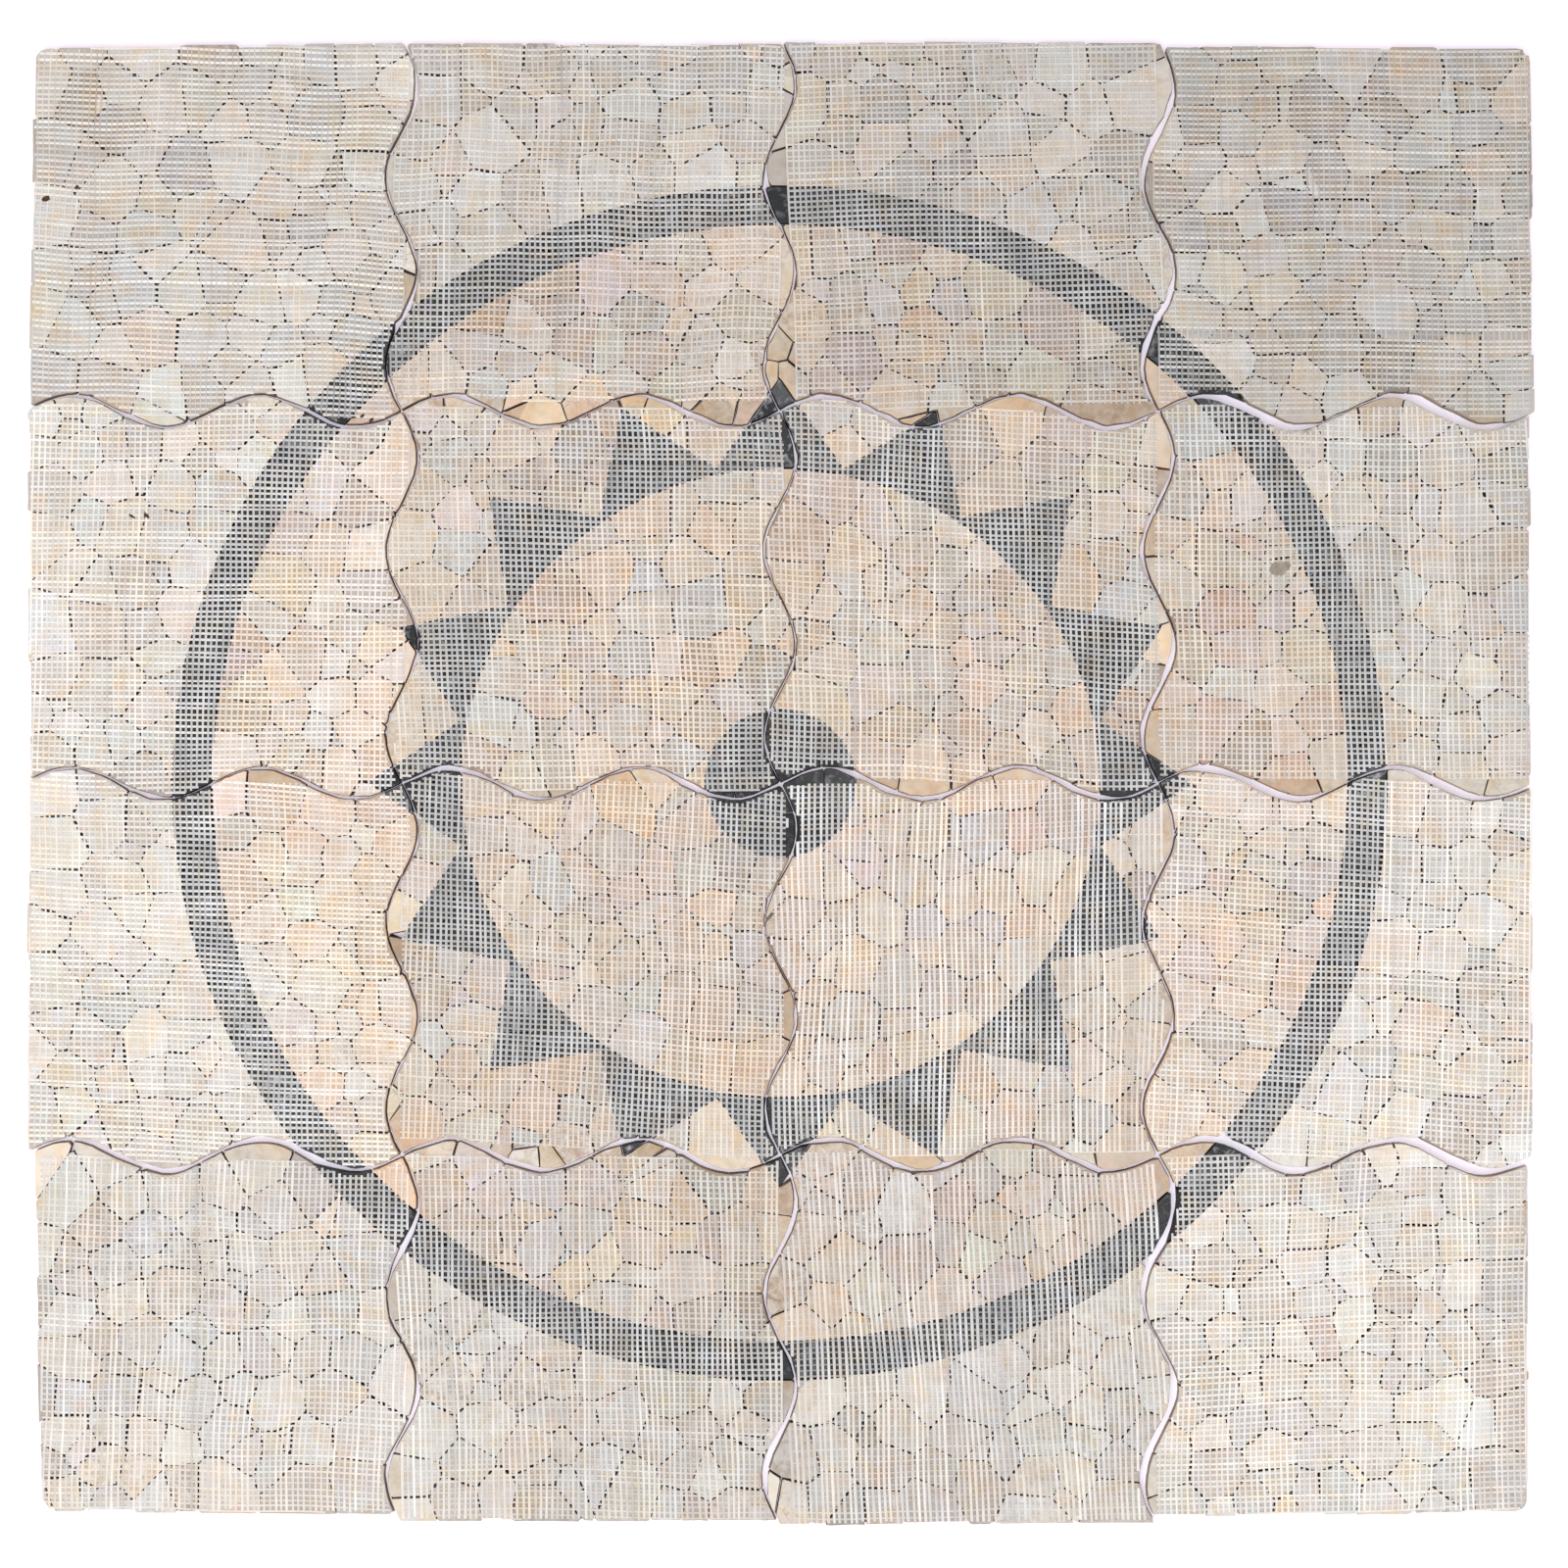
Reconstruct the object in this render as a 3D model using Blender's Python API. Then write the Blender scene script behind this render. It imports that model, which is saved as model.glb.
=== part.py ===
"""Sunburst floor medallion in broken marble.

Sixteen sheets of stones lie in a square, four by four, with their polished faces down and the glass
fibre net on their backs up. The sheets lock into each other along wavy seams. Pale stones fill the
field. Dark stones make a ring, sixteen rays and a disc, which run on from sheet to sheet.
The stones of one colour in a sheet are one solid, and the pale solid carries the threads of the net
that cross the dark stones.
"""

import math
import random

import bmesh
import bpy
from mathutils import Matrix, Vector

# The sheets: how far apart the seams are, and how wide the outer sheets are beyond the last seam
SHEETS_A_SIDE = 4
SEAM_PITCH_X = 0.303
SEAM_PITCH_Y = 0.298
OUTER_SHEET_X = 0.300
OUTER_SHEET_Y = 0.2955
CORNER_RADIUS = 0.010

# How far the outer edge of each outer sheet stands in from the widest one, first row or column first
LEFT_INSETS = (0.004, 0.001, 0.001, 0.008)
RIGHT_INSETS = (0.001, 0.002, 0.0, 0.005)
TOP_INSETS = (0.0025, 0.0015, 0.0, 0.004)
BOTTOM_INSETS = (0.0095, 0.0025, 0.0, 0.008)

# The wavy seams: waves to a sheet and their height from the middle line. The outline's points are so
# many to a wave, and stand off each crossing by this share of a step.
WAVES_A_SHEET = 2
WAVE_HEIGHT = 0.0125
POINTS_A_WAVE = 9
POINT_OFFSET = 0.1

# How the sheets lie: each is shifted and turned a little, and none touches its neighbour
LAY_SHIFT = 0.0006
LAY_TURN = 0.0015
SHEET_CLEARANCE = 0.0004
LAY_SEED = 7

# Thicknesses, and the gaps between solids
STONE_THICKNESS = 0.009
THREAD_WIDTH = 0.0018
THREAD_THICKNESS = 0.0007
THREAD_SUNK = 0.0002
THREAD_CLEARANCE = 0.0003
STONE_JOINT = 0.0008

# The pattern: a ring, sixteen rays that stand on a circle and reach over the seams, and a disc. The
# radii are the widths across, and the pattern is as much lower than wide as the sheets' pitches are.
RING_OUTER_RADIUS = 0.486
RING_WIDTH = 0.031
RAYS = 16
RAY_LENGTH = 0.073
RAY_OVER_SEAM = 0.026
RAY_FOOT = 0.004
DISC_RADIUS = 0.060
RING_SIDES = 72
BASE_SIDES = 48
DISC_SIDES = 24

# The threads that are modelled: so many round the ring, and so many over each ray
RING_THREADS = 32
THREADS_A_RAY = 3
THREAD_REACH = 0.006
RAY_THREAD_REACH = 0.040
THREAD_INSET = 0.003

PALE_COLOUR = (0.78, 0.71, 0.60, 1.0)
DARK_COLOUR = (0.16, 0.16, 0.17, 1.0)

CORNER_SIDES = 4
OVERSHOOT = 0.002

# The furthest that two neighbours can come towards each other, and the gap that allows it
REACH = math.hypot(SEAM_PITCH_X, SEAM_PITCH_Y) / 2
WAVE_SLOPE = 2 * math.pi * WAVE_HEIGHT * WAVES_A_SHEET / min(SEAM_PITCH_X, SEAM_PITCH_Y)
SEAM_GAP = SHEET_CLEARANCE + 2 * (math.sqrt(2) * LAY_SHIFT + LAY_TURN * REACH)
SEAM_GAP = SEAM_GAP * math.hypot(1, WAVE_SLOPE)

DARK_THICKNESS = STONE_THICKNESS - THREAD_SUNK - THREAD_CLEARANCE
RING_INNER_RADIUS = RING_OUTER_RADIUS - RING_WIDTH
RAY_BASE_RADIUS = SEAM_PITCH_X + RAY_OVER_SEAM - RAY_LENGTH
RING_MIDDLE = RING_OUTER_RADIUS - RING_WIDTH / 2
PATTERN_SQUEEZE = SEAM_PITCH_Y / SEAM_PITCH_X


def clear_scene():
    for thing in list(bpy.data.objects):
        bpy.data.objects.remove(thing, do_unlink=True)


def make_collection(name):
    collection = bpy.data.collections.new(name)
    bpy.context.scene.collection.children.link(collection)
    return collection


def make_material(name, colour, roughness):
    material = bpy.data.materials.new(name)
    material.use_nodes = True
    shader = material.node_tree.nodes["Principled BSDF"]
    shader.inputs["Base Color"].default_value = colour
    shader.inputs["Roughness"].default_value = roughness
    shader.inputs["Metallic"].default_value = 0.0
    return material


def seam_x(index, y):
    """The x of a seam that runs from far to near. It swings right first below each crossing."""
    phase = 2 * math.pi * WAVES_A_SHEET * y / SEAM_PITCH_Y
    return (index - SHEETS_A_SIDE / 2) * SEAM_PITCH_X - WAVE_HEIGHT * math.sin(phase)


def seam_y(index, x):
    """The y of a seam that runs from left to right. It swings up first past each crossing."""
    phase = 2 * math.pi * WAVES_A_SHEET * x / SEAM_PITCH_X
    return (SHEETS_A_SIDE / 2 - index) * SEAM_PITCH_Y + WAVE_HEIGHT * math.sin(phase)


def outer_reach(pitch, outer):
    """The distance from the middle of the panel to its outer edge."""
    return (SHEETS_A_SIDE / 2 - 1) * pitch + outer


def sheet_corners(row, column, inset):
    """The left, right, bottom and top of a sheet where its edges cross, less an inset."""
    last = SHEETS_A_SIDE - 1
    half_x = outer_reach(SEAM_PITCH_X, OUTER_SHEET_X) - inset
    half_y = outer_reach(SEAM_PITCH_Y, OUTER_SHEET_Y) - inset
    inner = SEAM_GAP / 2 + inset
    left = seam_x(column, 0) + inner if column > 0 else LEFT_INSETS[row] - half_x
    right = seam_x(column + 1, 0) - inner if column < last else half_x - RIGHT_INSETS[row]
    bottom = seam_y(row + 1, 0) + inner if row < last else BOTTOM_INSETS[column] - half_y
    top = seam_y(row, 0) - inner if row > 0 else half_y - TOP_INSETS[column]
    return left, right, bottom, top


def wave_places(start, end, pitch):
    """The places between two ends of an edge where the wavy outline has its points.

    No three of them are in one line, because they stand off the crossings.
    """
    step = pitch / (WAVES_A_SHEET * POINTS_A_WAVE)
    first = math.floor(min(start, end) / step)
    last = math.ceil(max(start, end) / step)
    places = [(index + POINT_OFFSET) * step for index in range(first, last + 1)]
    low, high = min(start, end) + SEAM_GAP, max(start, end) - SEAM_GAP
    clear = [place for place in places if low < place < high]
    return clear if start < end else clear[::-1]


def rounded_corner(x, y, start_angle):
    """An arc round the panel's own corner, which is cut square in every other sheet."""
    centre_x = x - CORNER_RADIUS * math.copysign(1, x)
    centre_y = y - CORNER_RADIUS * math.copysign(1, y)
    angles = [start_angle + math.pi / 2 * index / CORNER_SIDES for index in range(CORNER_SIDES + 1)]
    return [(centre_x + CORNER_RADIUS * math.cos(a), centre_y + CORNER_RADIUS * math.sin(a)) for a in angles]


def corner_points(x, y, x_is_outer, y_is_outer, start_angle):
    """The outline round one corner. A seam that runs out over the outer edge ends on its wave."""
    if x_is_outer and y_is_outer:
        return rounded_corner(x, y, start_angle)
    if x_is_outer:
        return [(x, y + seam_y(0, x) - seam_y(0, 0))]
    if y_is_outer:
        return [(x + seam_x(0, y) - seam_x(0, 0), y)]
    return [(x, y)]


def sheet_outline(row, column, inset=0.0):
    """The outline of one sheet, counterclockwise from its lower left corner."""
    last = SHEETS_A_SIDE - 1
    left, right, bottom, top = sheet_corners(row, column, inset)
    inner = SEAM_GAP / 2 + inset
    outline = []
    corners = [
        (left, bottom, column == 0, row == last, math.pi),
        (right, bottom, column == last, row == last, -math.pi / 2),
        (right, top, column == last, row == 0, 0.0),
        (left, top, column == 0, row == 0, math.pi / 2),
    ]
    for side, corner in enumerate(corners):
        outline += corner_points(*corner)
        if side == 0 and row < last:
            outline += [(at, seam_y(row + 1, at) + inner) for at in wave_places(left, right, SEAM_PITCH_X)]
        if side == 1 and column < last:
            places = wave_places(bottom, top, SEAM_PITCH_Y)
            outline += [(seam_x(column + 1, at) - inner, at) for at in places]
        if side == 2 and row > 0:
            outline += [(at, seam_y(row, at) - inner) for at in wave_places(right, left, SEAM_PITCH_X)]
        if side == 3 and column > 0:
            outline += [(seam_x(column, at) + inner, at) for at in wave_places(top, bottom, SEAM_PITCH_Y)]
    return outline


def circle(radius, sides):
    angles = [2 * math.pi * index / sides for index in range(sides)]
    return [(radius * math.cos(angle), radius * math.sin(angle)) for angle in angles]


def squeezed(outline):
    return [(x, y * PATTERN_SQUEEZE) for x, y in outline]


def zigzag(grow):
    """The outer line of the rays, moved out by grow along each of its straight stretches."""
    half_step = math.pi / RAYS
    tip = Vector((RAY_BASE_RADIUS + RAY_LENGTH, 0))
    foot_radius = RAY_BASE_RADIUS + RAY_FOOT
    foot = Vector((foot_radius * math.cos(half_step), foot_radius * math.sin(half_step)))
    side = tip - foot
    tip_angle = math.atan2(-side.y, side.x)
    foot_angle = tip_angle + half_step
    tip_radius = tip.x + grow / math.sin(tip_angle)
    foot_radius = foot_radius + grow / math.sin(foot_angle)
    points = []
    for index in range(RAYS):
        angle = 2 * half_step * index
        points.append((tip_radius * math.cos(angle), tip_radius * math.sin(angle)))
        angle += half_step
        points.append((foot_radius * math.cos(angle), foot_radius * math.sin(angle)))
    return points


def pattern_outlines(grow=0.0):
    """The outlines of the ring, the rays and the disc. The second outline of each is its hole."""
    outlines = {
        "ring": [circle(RING_OUTER_RADIUS + grow, RING_SIDES), circle(RING_INNER_RADIUS - grow, RING_SIDES)],
        "rays": [zigzag(grow), circle(RAY_BASE_RADIUS - grow, BASE_SIDES)],
        "disc": [circle(DISC_RADIUS + grow, DISC_SIDES)],
    }
    return {kind: [squeezed(outline) for outline in group] for kind, group in outlines.items()}


def flatten(mesh):
    """Welds a mesh and makes each flat area as few faces as it can be."""
    shape = bmesh.new()
    shape.from_mesh(mesh)
    bmesh.ops.remove_doubles(shape, verts=shape.verts, dist=0.000001)
    bmesh.ops.dissolve_limit(shape, angle_limit=0.001, verts=shape.verts, edges=shape.edges)
    bmesh.ops.recalc_face_normals(shape, faces=shape.faces)
    shape.to_mesh(mesh)
    shape.free()
    return mesh


def plate(name, outlines, low, high, collection):
    """A flat solid between two heights. An outline that lies inside another is a hole in it."""
    curve = bpy.data.curves.new(name, "CURVE")
    curve.dimensions = "2D"
    curve.fill_mode = "BOTH"
    curve.extrude = (high - low) / 2
    for outline in outlines:
        spline = curve.splines.new("POLY")
        spline.points.add(len(outline) - 1)
        for point, (x, y) in zip(spline.points, outline):
            point.co = (x, y, 0, 1)
        spline.use_cyclic_u = True
    drawn = bpy.data.objects.new(name, curve)
    drawn.location.z = (low + high) / 2
    collection.objects.link(drawn)
    bpy.context.view_layer.update()
    graph = bpy.context.evaluated_depsgraph_get()
    mesh = flatten(bpy.data.meshes.new_from_object(drawn.evaluated_get(graph)))
    solid = bpy.data.objects.new(name, mesh)
    solid.matrix_world = drawn.matrix_world
    collection.objects.link(solid)
    bpy.data.objects.remove(drawn)
    bpy.data.curves.remove(curve)
    bpy.context.view_layer.update()
    return solid


def boxes(name, spans, low, high, collection):
    """One object of straight threads, each given by its lowest and highest x and y."""
    shape = bmesh.new()
    for x0, x1, y0, y1 in spans:
        middle = Vector(((x0 + x1) / 2, (y0 + y1) / 2, (low + high) / 2))
        size = Matrix.Diagonal((x1 - x0, y1 - y0, high - low, 1))
        bmesh.ops.create_cube(shape, size=1, matrix=Matrix.Translation(middle) @ size)
    mesh = bpy.data.meshes.new(name)
    shape.to_mesh(mesh)
    shape.free()
    solid = bpy.data.objects.new(name, mesh)
    collection.objects.link(solid)
    return solid


def cutter_style(thing):
    thing.hide_render = True
    thing.display_type = "WIRE"
    return thing


def boolean(thing, other, operation, crossing=False):
    """Joins, cuts or trims a solid by another, at once."""
    modifier = thing.modifiers.new(operation.lower(), "BOOLEAN")
    modifier.object = other
    modifier.operation = operation
    modifier.solver = "EXACT"
    modifier.use_self = crossing
    bpy.context.view_layer.update()
    graph = bpy.context.evaluated_depsgraph_get()
    mesh = bpy.data.meshes.new_from_object(thing.evaluated_get(graph))
    thing.modifiers.clear()
    mesh.transform(thing.matrix_world)
    thing.matrix_world = Matrix()
    thing.data = flatten(mesh)


def bodies(mesh):
    """The separate closed bodies of a mesh as new meshes, the largest in plan first."""
    shape = bmesh.new()
    shape.from_mesh(mesh)
    left = set(shape.verts)
    found = []
    while left:
        group = {left.pop()}
        unvisited = list(group)
        while unvisited:
            vertex = unvisited.pop()
            near = {link.other_vert(vertex) for link in vertex.link_edges} - group
            group |= near
            unvisited += near
        left -= group
        found.append(group)
    shape.verts.index_update()
    groups = [{vertex.index for vertex in group} for group in found]
    shape.free()
    made = []
    for group in groups:
        part = bmesh.new()
        part.from_mesh(mesh)
        bmesh.ops.delete(part, geom=[v for v in part.verts if v.index not in group], context="VERTS")
        body = bpy.data.meshes.new(mesh.name)
        part.to_mesh(body)
        made.append((part.calc_volume(), body))
        part.free()
    made.sort(key=lambda item: -item[0])
    return [body for volume, body in made]


def lowest(mesh):
    return min(vertex.co.z for vertex in mesh.vertices)


def straight_thread(angle, inner, outer, at, upright):
    """The span of a thread that crosses a band between two radii, upright or lying along x."""
    across = at * (math.cos(angle) if upright else math.sin(angle))
    side = math.copysign(1, math.sin(angle) if upright else math.cos(angle))
    start = side * (math.sqrt(max(inner**2 - across**2, 0)) - THREAD_REACH)
    end = side * (math.sqrt(max(outer**2 - across**2, 0)) + THREAD_REACH)
    low, high = min(start, end), max(start, end)
    near, far = across - THREAD_WIDTH / 2, across + THREAD_WIDTH / 2
    return (near, far, low, high) if upright else (low, high, near, far)


def threads_over(angles, inner, outer, at):
    """Threads over a band at each angle. Where the band slants by half a right angle, both ways cross it."""
    spans = []
    for angle in angles:
        steep = abs(math.sin(angle)) - abs(math.cos(angle))
        if steep > -0.001:
            spans.append(straight_thread(angle, inner, outer, at, True))
        if steep < 0.001:
            spans.append(straight_thread(angle, inner, outer, at, False))
    return spans


def is_small(mesh):
    """Whether a dark solid is no longer than a ray, so that it needs threads of its own."""
    xs = [vertex.co.x for vertex in mesh.vertices]
    ys = [vertex.co.y for vertex in mesh.vertices]
    return max(max(xs) - min(xs), max(ys) - min(ys)) < RAY_LENGTH


def holding_threads(mesh):
    """Two threads that cross over the middle of a small dark piece."""
    xs = [vertex.co.x for vertex in mesh.vertices]
    ys = [vertex.co.y for vertex in mesh.vertices]
    x, y = sum(xs) / len(xs), sum(ys) / len(ys)
    half = THREAD_WIDTH / 2
    lying = (min(xs) - THREAD_REACH, max(xs) + THREAD_REACH, y - half, y + half)
    upright = (x - half, x + half, min(ys) - THREAD_REACH, max(ys) + THREAD_REACH)
    return [lying, upright]


def pattern_threads():
    """The threads over the ring and over the rays, with one through every foot between two rays."""
    ring_angles = [2 * math.pi * index / RING_THREADS for index in range(RING_THREADS)]
    count = RAYS * THREADS_A_RAY
    ray_angles = [2 * math.pi * (index + 0.5) / count for index in range(count)]
    foot_radius = RAY_BASE_RADIUS + RAY_FOOT
    spans = threads_over(ring_angles, RING_INNER_RADIUS, RING_OUTER_RADIUS, RING_MIDDLE)
    spans += threads_over(ray_angles, RAY_BASE_RADIUS, RAY_BASE_RADIUS + RAY_THREAD_REACH, foot_radius)
    return [(x0, x1, y0 * PATTERN_SQUEEZE, y1 * PATTERN_SQUEEZE) for x0, x1, y0, y1 in spans]


def within(span, corners):
    x0, x1, y0, y1 = span
    left, right, bottom, top = corners
    margin = WAVE_HEIGHT
    return x1 > left - margin and x0 < right + margin and y1 > bottom - margin and y0 < top + margin


def copied(thing, name, collection):
    copy = bpy.data.objects.new(name, thing.data.copy())
    copy.matrix_world = thing.matrix_world.copy()
    collection.objects.link(copy)
    return copy


def lay_guide(row, column, panel, draw, collection):
    """The empty that carries a sheet, a little off its true place."""
    left, right, bottom, top = sheet_corners(row, column, 0.0)
    guide = bpy.data.objects.new(f"lay_r{row + 1}c{column + 1}", None)
    guide.empty_display_size = OUTER_SHEET_X / 10
    shift_x = draw.uniform(-LAY_SHIFT, LAY_SHIFT)
    shift_y = draw.uniform(-LAY_SHIFT, LAY_SHIFT)
    guide.rotation_euler.z = draw.uniform(-LAY_TURN, LAY_TURN)
    guide.location = ((left + right) / 2 + shift_x, (bottom + top) / 2 + shift_y, 0)
    guide.parent = panel
    collection.objects.link(guide)
    return guide, Vector(((left + right) / 2, (bottom + top) / 2, 0))


def add_node(name, mesh, material, guide, middle, collection):
    mesh.name = name
    mesh.transform(Matrix.Translation(-middle))
    mesh.materials.clear()
    mesh.materials.append(material)
    node = bpy.data.objects.new(name, mesh)
    node.parent = guide
    collection.objects.link(node)


def numbered(base, bodies_found):
    """Names for the bodies of one kind in a sheet: the plain name if there is only one."""
    if len(bodies_found) == 1:
        return [base]
    return [f"{base}_{index + 1}" for index in range(len(bodies_found))]


def make_sheet(row, column, cutters, spans, guide, middle, materials, collection, scratch):
    """The pale solid and the dark solids of one sheet."""
    place = f"r{row + 1}c{column + 1}"
    corners = sheet_corners(row, column, 0.0)
    outline = sheet_outline(row, column)
    small_spans = []
    for kind, cutter in cutters["true"].items():
        dark = plate(f"{kind}_{place}", [outline], 0.0, DARK_THICKNESS, scratch)
        boolean(dark, cutter, "INTERSECT")
        if dark.data.polygons:
            found = bodies(dark.data)
            for name, mesh in zip(numbered(f"{kind}_{place}", found), found):
                if is_small(mesh):
                    small_spans += holding_threads(mesh)
                add_node(name, mesh, materials["dark"], guide, middle, collection)
        bpy.data.objects.remove(dark)
    pale = plate(f"sheet_{place}", [outline], 0.0, STONE_THICKNESS, scratch)
    for cutter in cutters["grown"].values():
        boolean(pale, cutter, "DIFFERENCE")
    thread_low = STONE_THICKNESS - THREAD_SUNK
    own_spans = [span for span in spans if within(span, corners)] + small_spans
    if own_spans:
        threads = boxes(f"threads_{place}", own_spans, thread_low, thread_low + THREAD_THICKNESS, scratch)
        trim = plate(f"trim_{place}", [sheet_outline(row, column, THREAD_INSET)],
                     thread_low - OVERSHOOT, thread_low + THREAD_THICKNESS + OVERSHOOT, scratch)
        boolean(threads, trim, "INTERSECT", crossing=True)
        boolean(pale, threads, "UNION")
        bpy.data.objects.remove(trim)
        bpy.data.objects.remove(threads)
    found = [mesh for mesh in bodies(pale.data) if lowest(mesh) < thread_low / 2]
    for name, mesh in zip(numbered(f"sheet_{place}", found), found):
        add_node(name, mesh, materials["pale"], guide, middle, collection)
    bpy.data.objects.remove(pale)


def centre_panel(panel, collection):
    """Moves the panel so that the middle of its box is over the origin."""
    bpy.context.view_layer.update()
    points = [thing.matrix_world @ vertex.co
              for thing in collection.objects if thing.type == "MESH"
              for vertex in thing.data.vertices]
    middle_x = (min(p.x for p in points) + max(p.x for p in points)) / 2
    middle_y = (min(p.y for p in points) + max(p.y for p in points)) / 2
    panel.location = (-middle_x, -middle_y, 0)
    bpy.context.view_layer.update()


def make_panel():
    clear_scene()
    parts = make_collection("mosaic_panel")
    scratch = make_collection("cutters")
    materials = {
        "pale": make_material("pale marble", PALE_COLOUR, 0.55),
        "dark": make_material("dark marble", DARK_COLOUR, 0.50),
    }
    panel = bpy.data.objects.new("panel", None)
    parts.objects.link(panel)
    cutters = {"true": {}, "grown": {}}
    for state, grow in (("true", 0.0), ("grown", STONE_JOINT)):
        for kind, outlines in pattern_outlines(grow).items():
            solid = plate(f"{kind}_{state}", outlines, -OVERSHOOT, STONE_THICKNESS + OVERSHOOT, scratch)
            cutters[state][kind] = cutter_style(solid)
    spans = pattern_threads()
    draw = random.Random(LAY_SEED)
    for row in range(SHEETS_A_SIDE):
        for column in range(SHEETS_A_SIDE):
            guide, middle = lay_guide(row, column, panel, draw, parts)
            make_sheet(row, column, cutters, spans, guide, middle, materials, parts, scratch)
    centre_panel(panel, parts)


make_panel()
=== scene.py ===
"""The looks of a floor medallion of broken marble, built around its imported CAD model.

Every stone is a body of its own with its joints, and every thread of the glass fibre net on the backs
is there. The panel lies face down on a pale floor with its net up, and the camera looks straight down.
The stones are laid out in the true pattern, and each sheet is then put where the CAD model has it.
"""

import math
import random

import bpy
import numpy as np
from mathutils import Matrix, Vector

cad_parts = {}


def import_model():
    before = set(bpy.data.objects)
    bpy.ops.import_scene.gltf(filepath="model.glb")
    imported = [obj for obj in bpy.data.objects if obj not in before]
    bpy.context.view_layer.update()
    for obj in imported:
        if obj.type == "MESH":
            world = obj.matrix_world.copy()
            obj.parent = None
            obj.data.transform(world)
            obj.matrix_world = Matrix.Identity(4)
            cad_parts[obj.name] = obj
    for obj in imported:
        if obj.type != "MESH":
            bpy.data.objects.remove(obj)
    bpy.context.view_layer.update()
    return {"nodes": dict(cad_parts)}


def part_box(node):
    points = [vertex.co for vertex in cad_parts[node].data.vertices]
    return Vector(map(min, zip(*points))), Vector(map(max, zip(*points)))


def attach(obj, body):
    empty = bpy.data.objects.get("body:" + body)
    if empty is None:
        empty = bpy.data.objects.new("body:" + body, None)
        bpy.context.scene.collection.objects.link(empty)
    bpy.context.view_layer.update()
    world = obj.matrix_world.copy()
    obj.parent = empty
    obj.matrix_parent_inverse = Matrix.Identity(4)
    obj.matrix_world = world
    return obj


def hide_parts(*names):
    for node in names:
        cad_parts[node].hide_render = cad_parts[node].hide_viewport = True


# The sheets and their wavy seams, as in the CAD model
SHEETS_A_SIDE = 4
SEAM_PITCH_X = 0.303
SEAM_PITCH_Y = 0.298
OUTER_SHEET_X = 0.300
OUTER_SHEET_Y = 0.2955
CORNER_RADIUS = 0.010
LEFT_INSETS = (0.004, 0.001, 0.001, 0.008)
RIGHT_INSETS = (0.001, 0.002, 0.0, 0.005)
TOP_INSETS = (0.0025, 0.0015, 0.0, 0.004)
BOTTOM_INSETS = (0.0095, 0.0025, 0.0, 0.008)

# How much more the outer edges of each outer sheet stand in at their top or left end than in the middle
LEFT_LEANS = (0.0025, -0.0008, 0.0008, -0.0035)
RIGHT_LEANS = (0.0020, 0.0010, 0.0004, 0.0004)
TOP_LEANS = (0.0018, -0.0006, 0.0, -0.0004)
BOTTOM_LEANS = (0.0012, 0.0003, -0.0018, -0.0018)

WAVES_A_SHEET = 2
WAVE_HEIGHT = 0.0125
LAY_SHIFT = 0.0006
LAY_TURN = 0.0015
SHEET_CLEARANCE = 0.0004

# Seeds of the random draws
LAY_SEED = 7
FILM_SEED = 11
STONE_SEED = 1000
NET_SEED = 3000
WOBBLE_SEED = 4000
SPECK_SEED = 5000

# Fields that change slowly: how many waves each is made of, the shortest and the longest
WOBBLE_WAVES = (4, 0.018, 0.07)
STRAY_WAVES = (5, 0.06, 0.25)
FADE_WAVES = (6, 0.02, 0.08)
FILM_WAVES = (6, 0.10, 0.35)

# The gap between two sheets, seam by seam and then sheet by sheet along it from the top or the left:
# its usual width, and how much wider it is where a wave falls than where it rises
UPRIGHT_GAPS = (
    ((0.0016, 0.0008), (0.0010, 0.0002), (0.0009, 0.0002), (0.0022, 0.0014)),
    ((0.0013, 0.0003), (0.0012, 0.0002), (0.0012, 0.0003), (0.0031, 0.0016)),
    ((0.0037, 0.0018), (0.0027, 0.0016), (0.0021, 0.0006), (0.0043, 0.0022)),
)
LYING_GAPS = (
    ((0.0022, 0.0014), (0.0025, 0.0012), (0.0030, 0.0014), (0.0046, 0.0034)),
    ((0.0022, 0.0009), (0.0031, 0.0013), (0.0033, 0.0013), (0.0046, 0.0030)),
    ((0.0040, 0.0013), (0.0032, 0.0012), (0.0032, 0.0015), (0.0056, 0.0032)),
)
LEAST_GAP = 0.0010
LEAST_FOOT_GAP = 0.0004
FOOT_REACH = 0.0004
SEAM_WOBBLE = 0.0009

# The pattern, as in the CAD model
RING_OUTER_RADIUS = 0.486
RING_INNER_RADIUS = 0.455
RAYS = 16
RAY_TIP_RADIUS = 0.329
RAY_BASE_RADIUS = 0.256
RAY_FOOT = 0.004
DISC_RADIUS = 0.060
PATTERN_SQUEEZE = SEAM_PITCH_Y / SEAM_PITCH_X

REACH = math.hypot(SEAM_PITCH_X, SEAM_PITCH_Y) / 2
WAVE_SLOPE = 2 * math.pi * WAVE_HEIGHT * WAVES_A_SHEET / min(SEAM_PITCH_X, SEAM_PITCH_Y)
SEAM_GAP = SHEET_CLEARANCE + 2 * (math.sqrt(2) * LAY_SHIFT + LAY_TURN * REACH)
SEAM_GAP = SEAM_GAP * math.hypot(1, WAVE_SLOPE)

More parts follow.
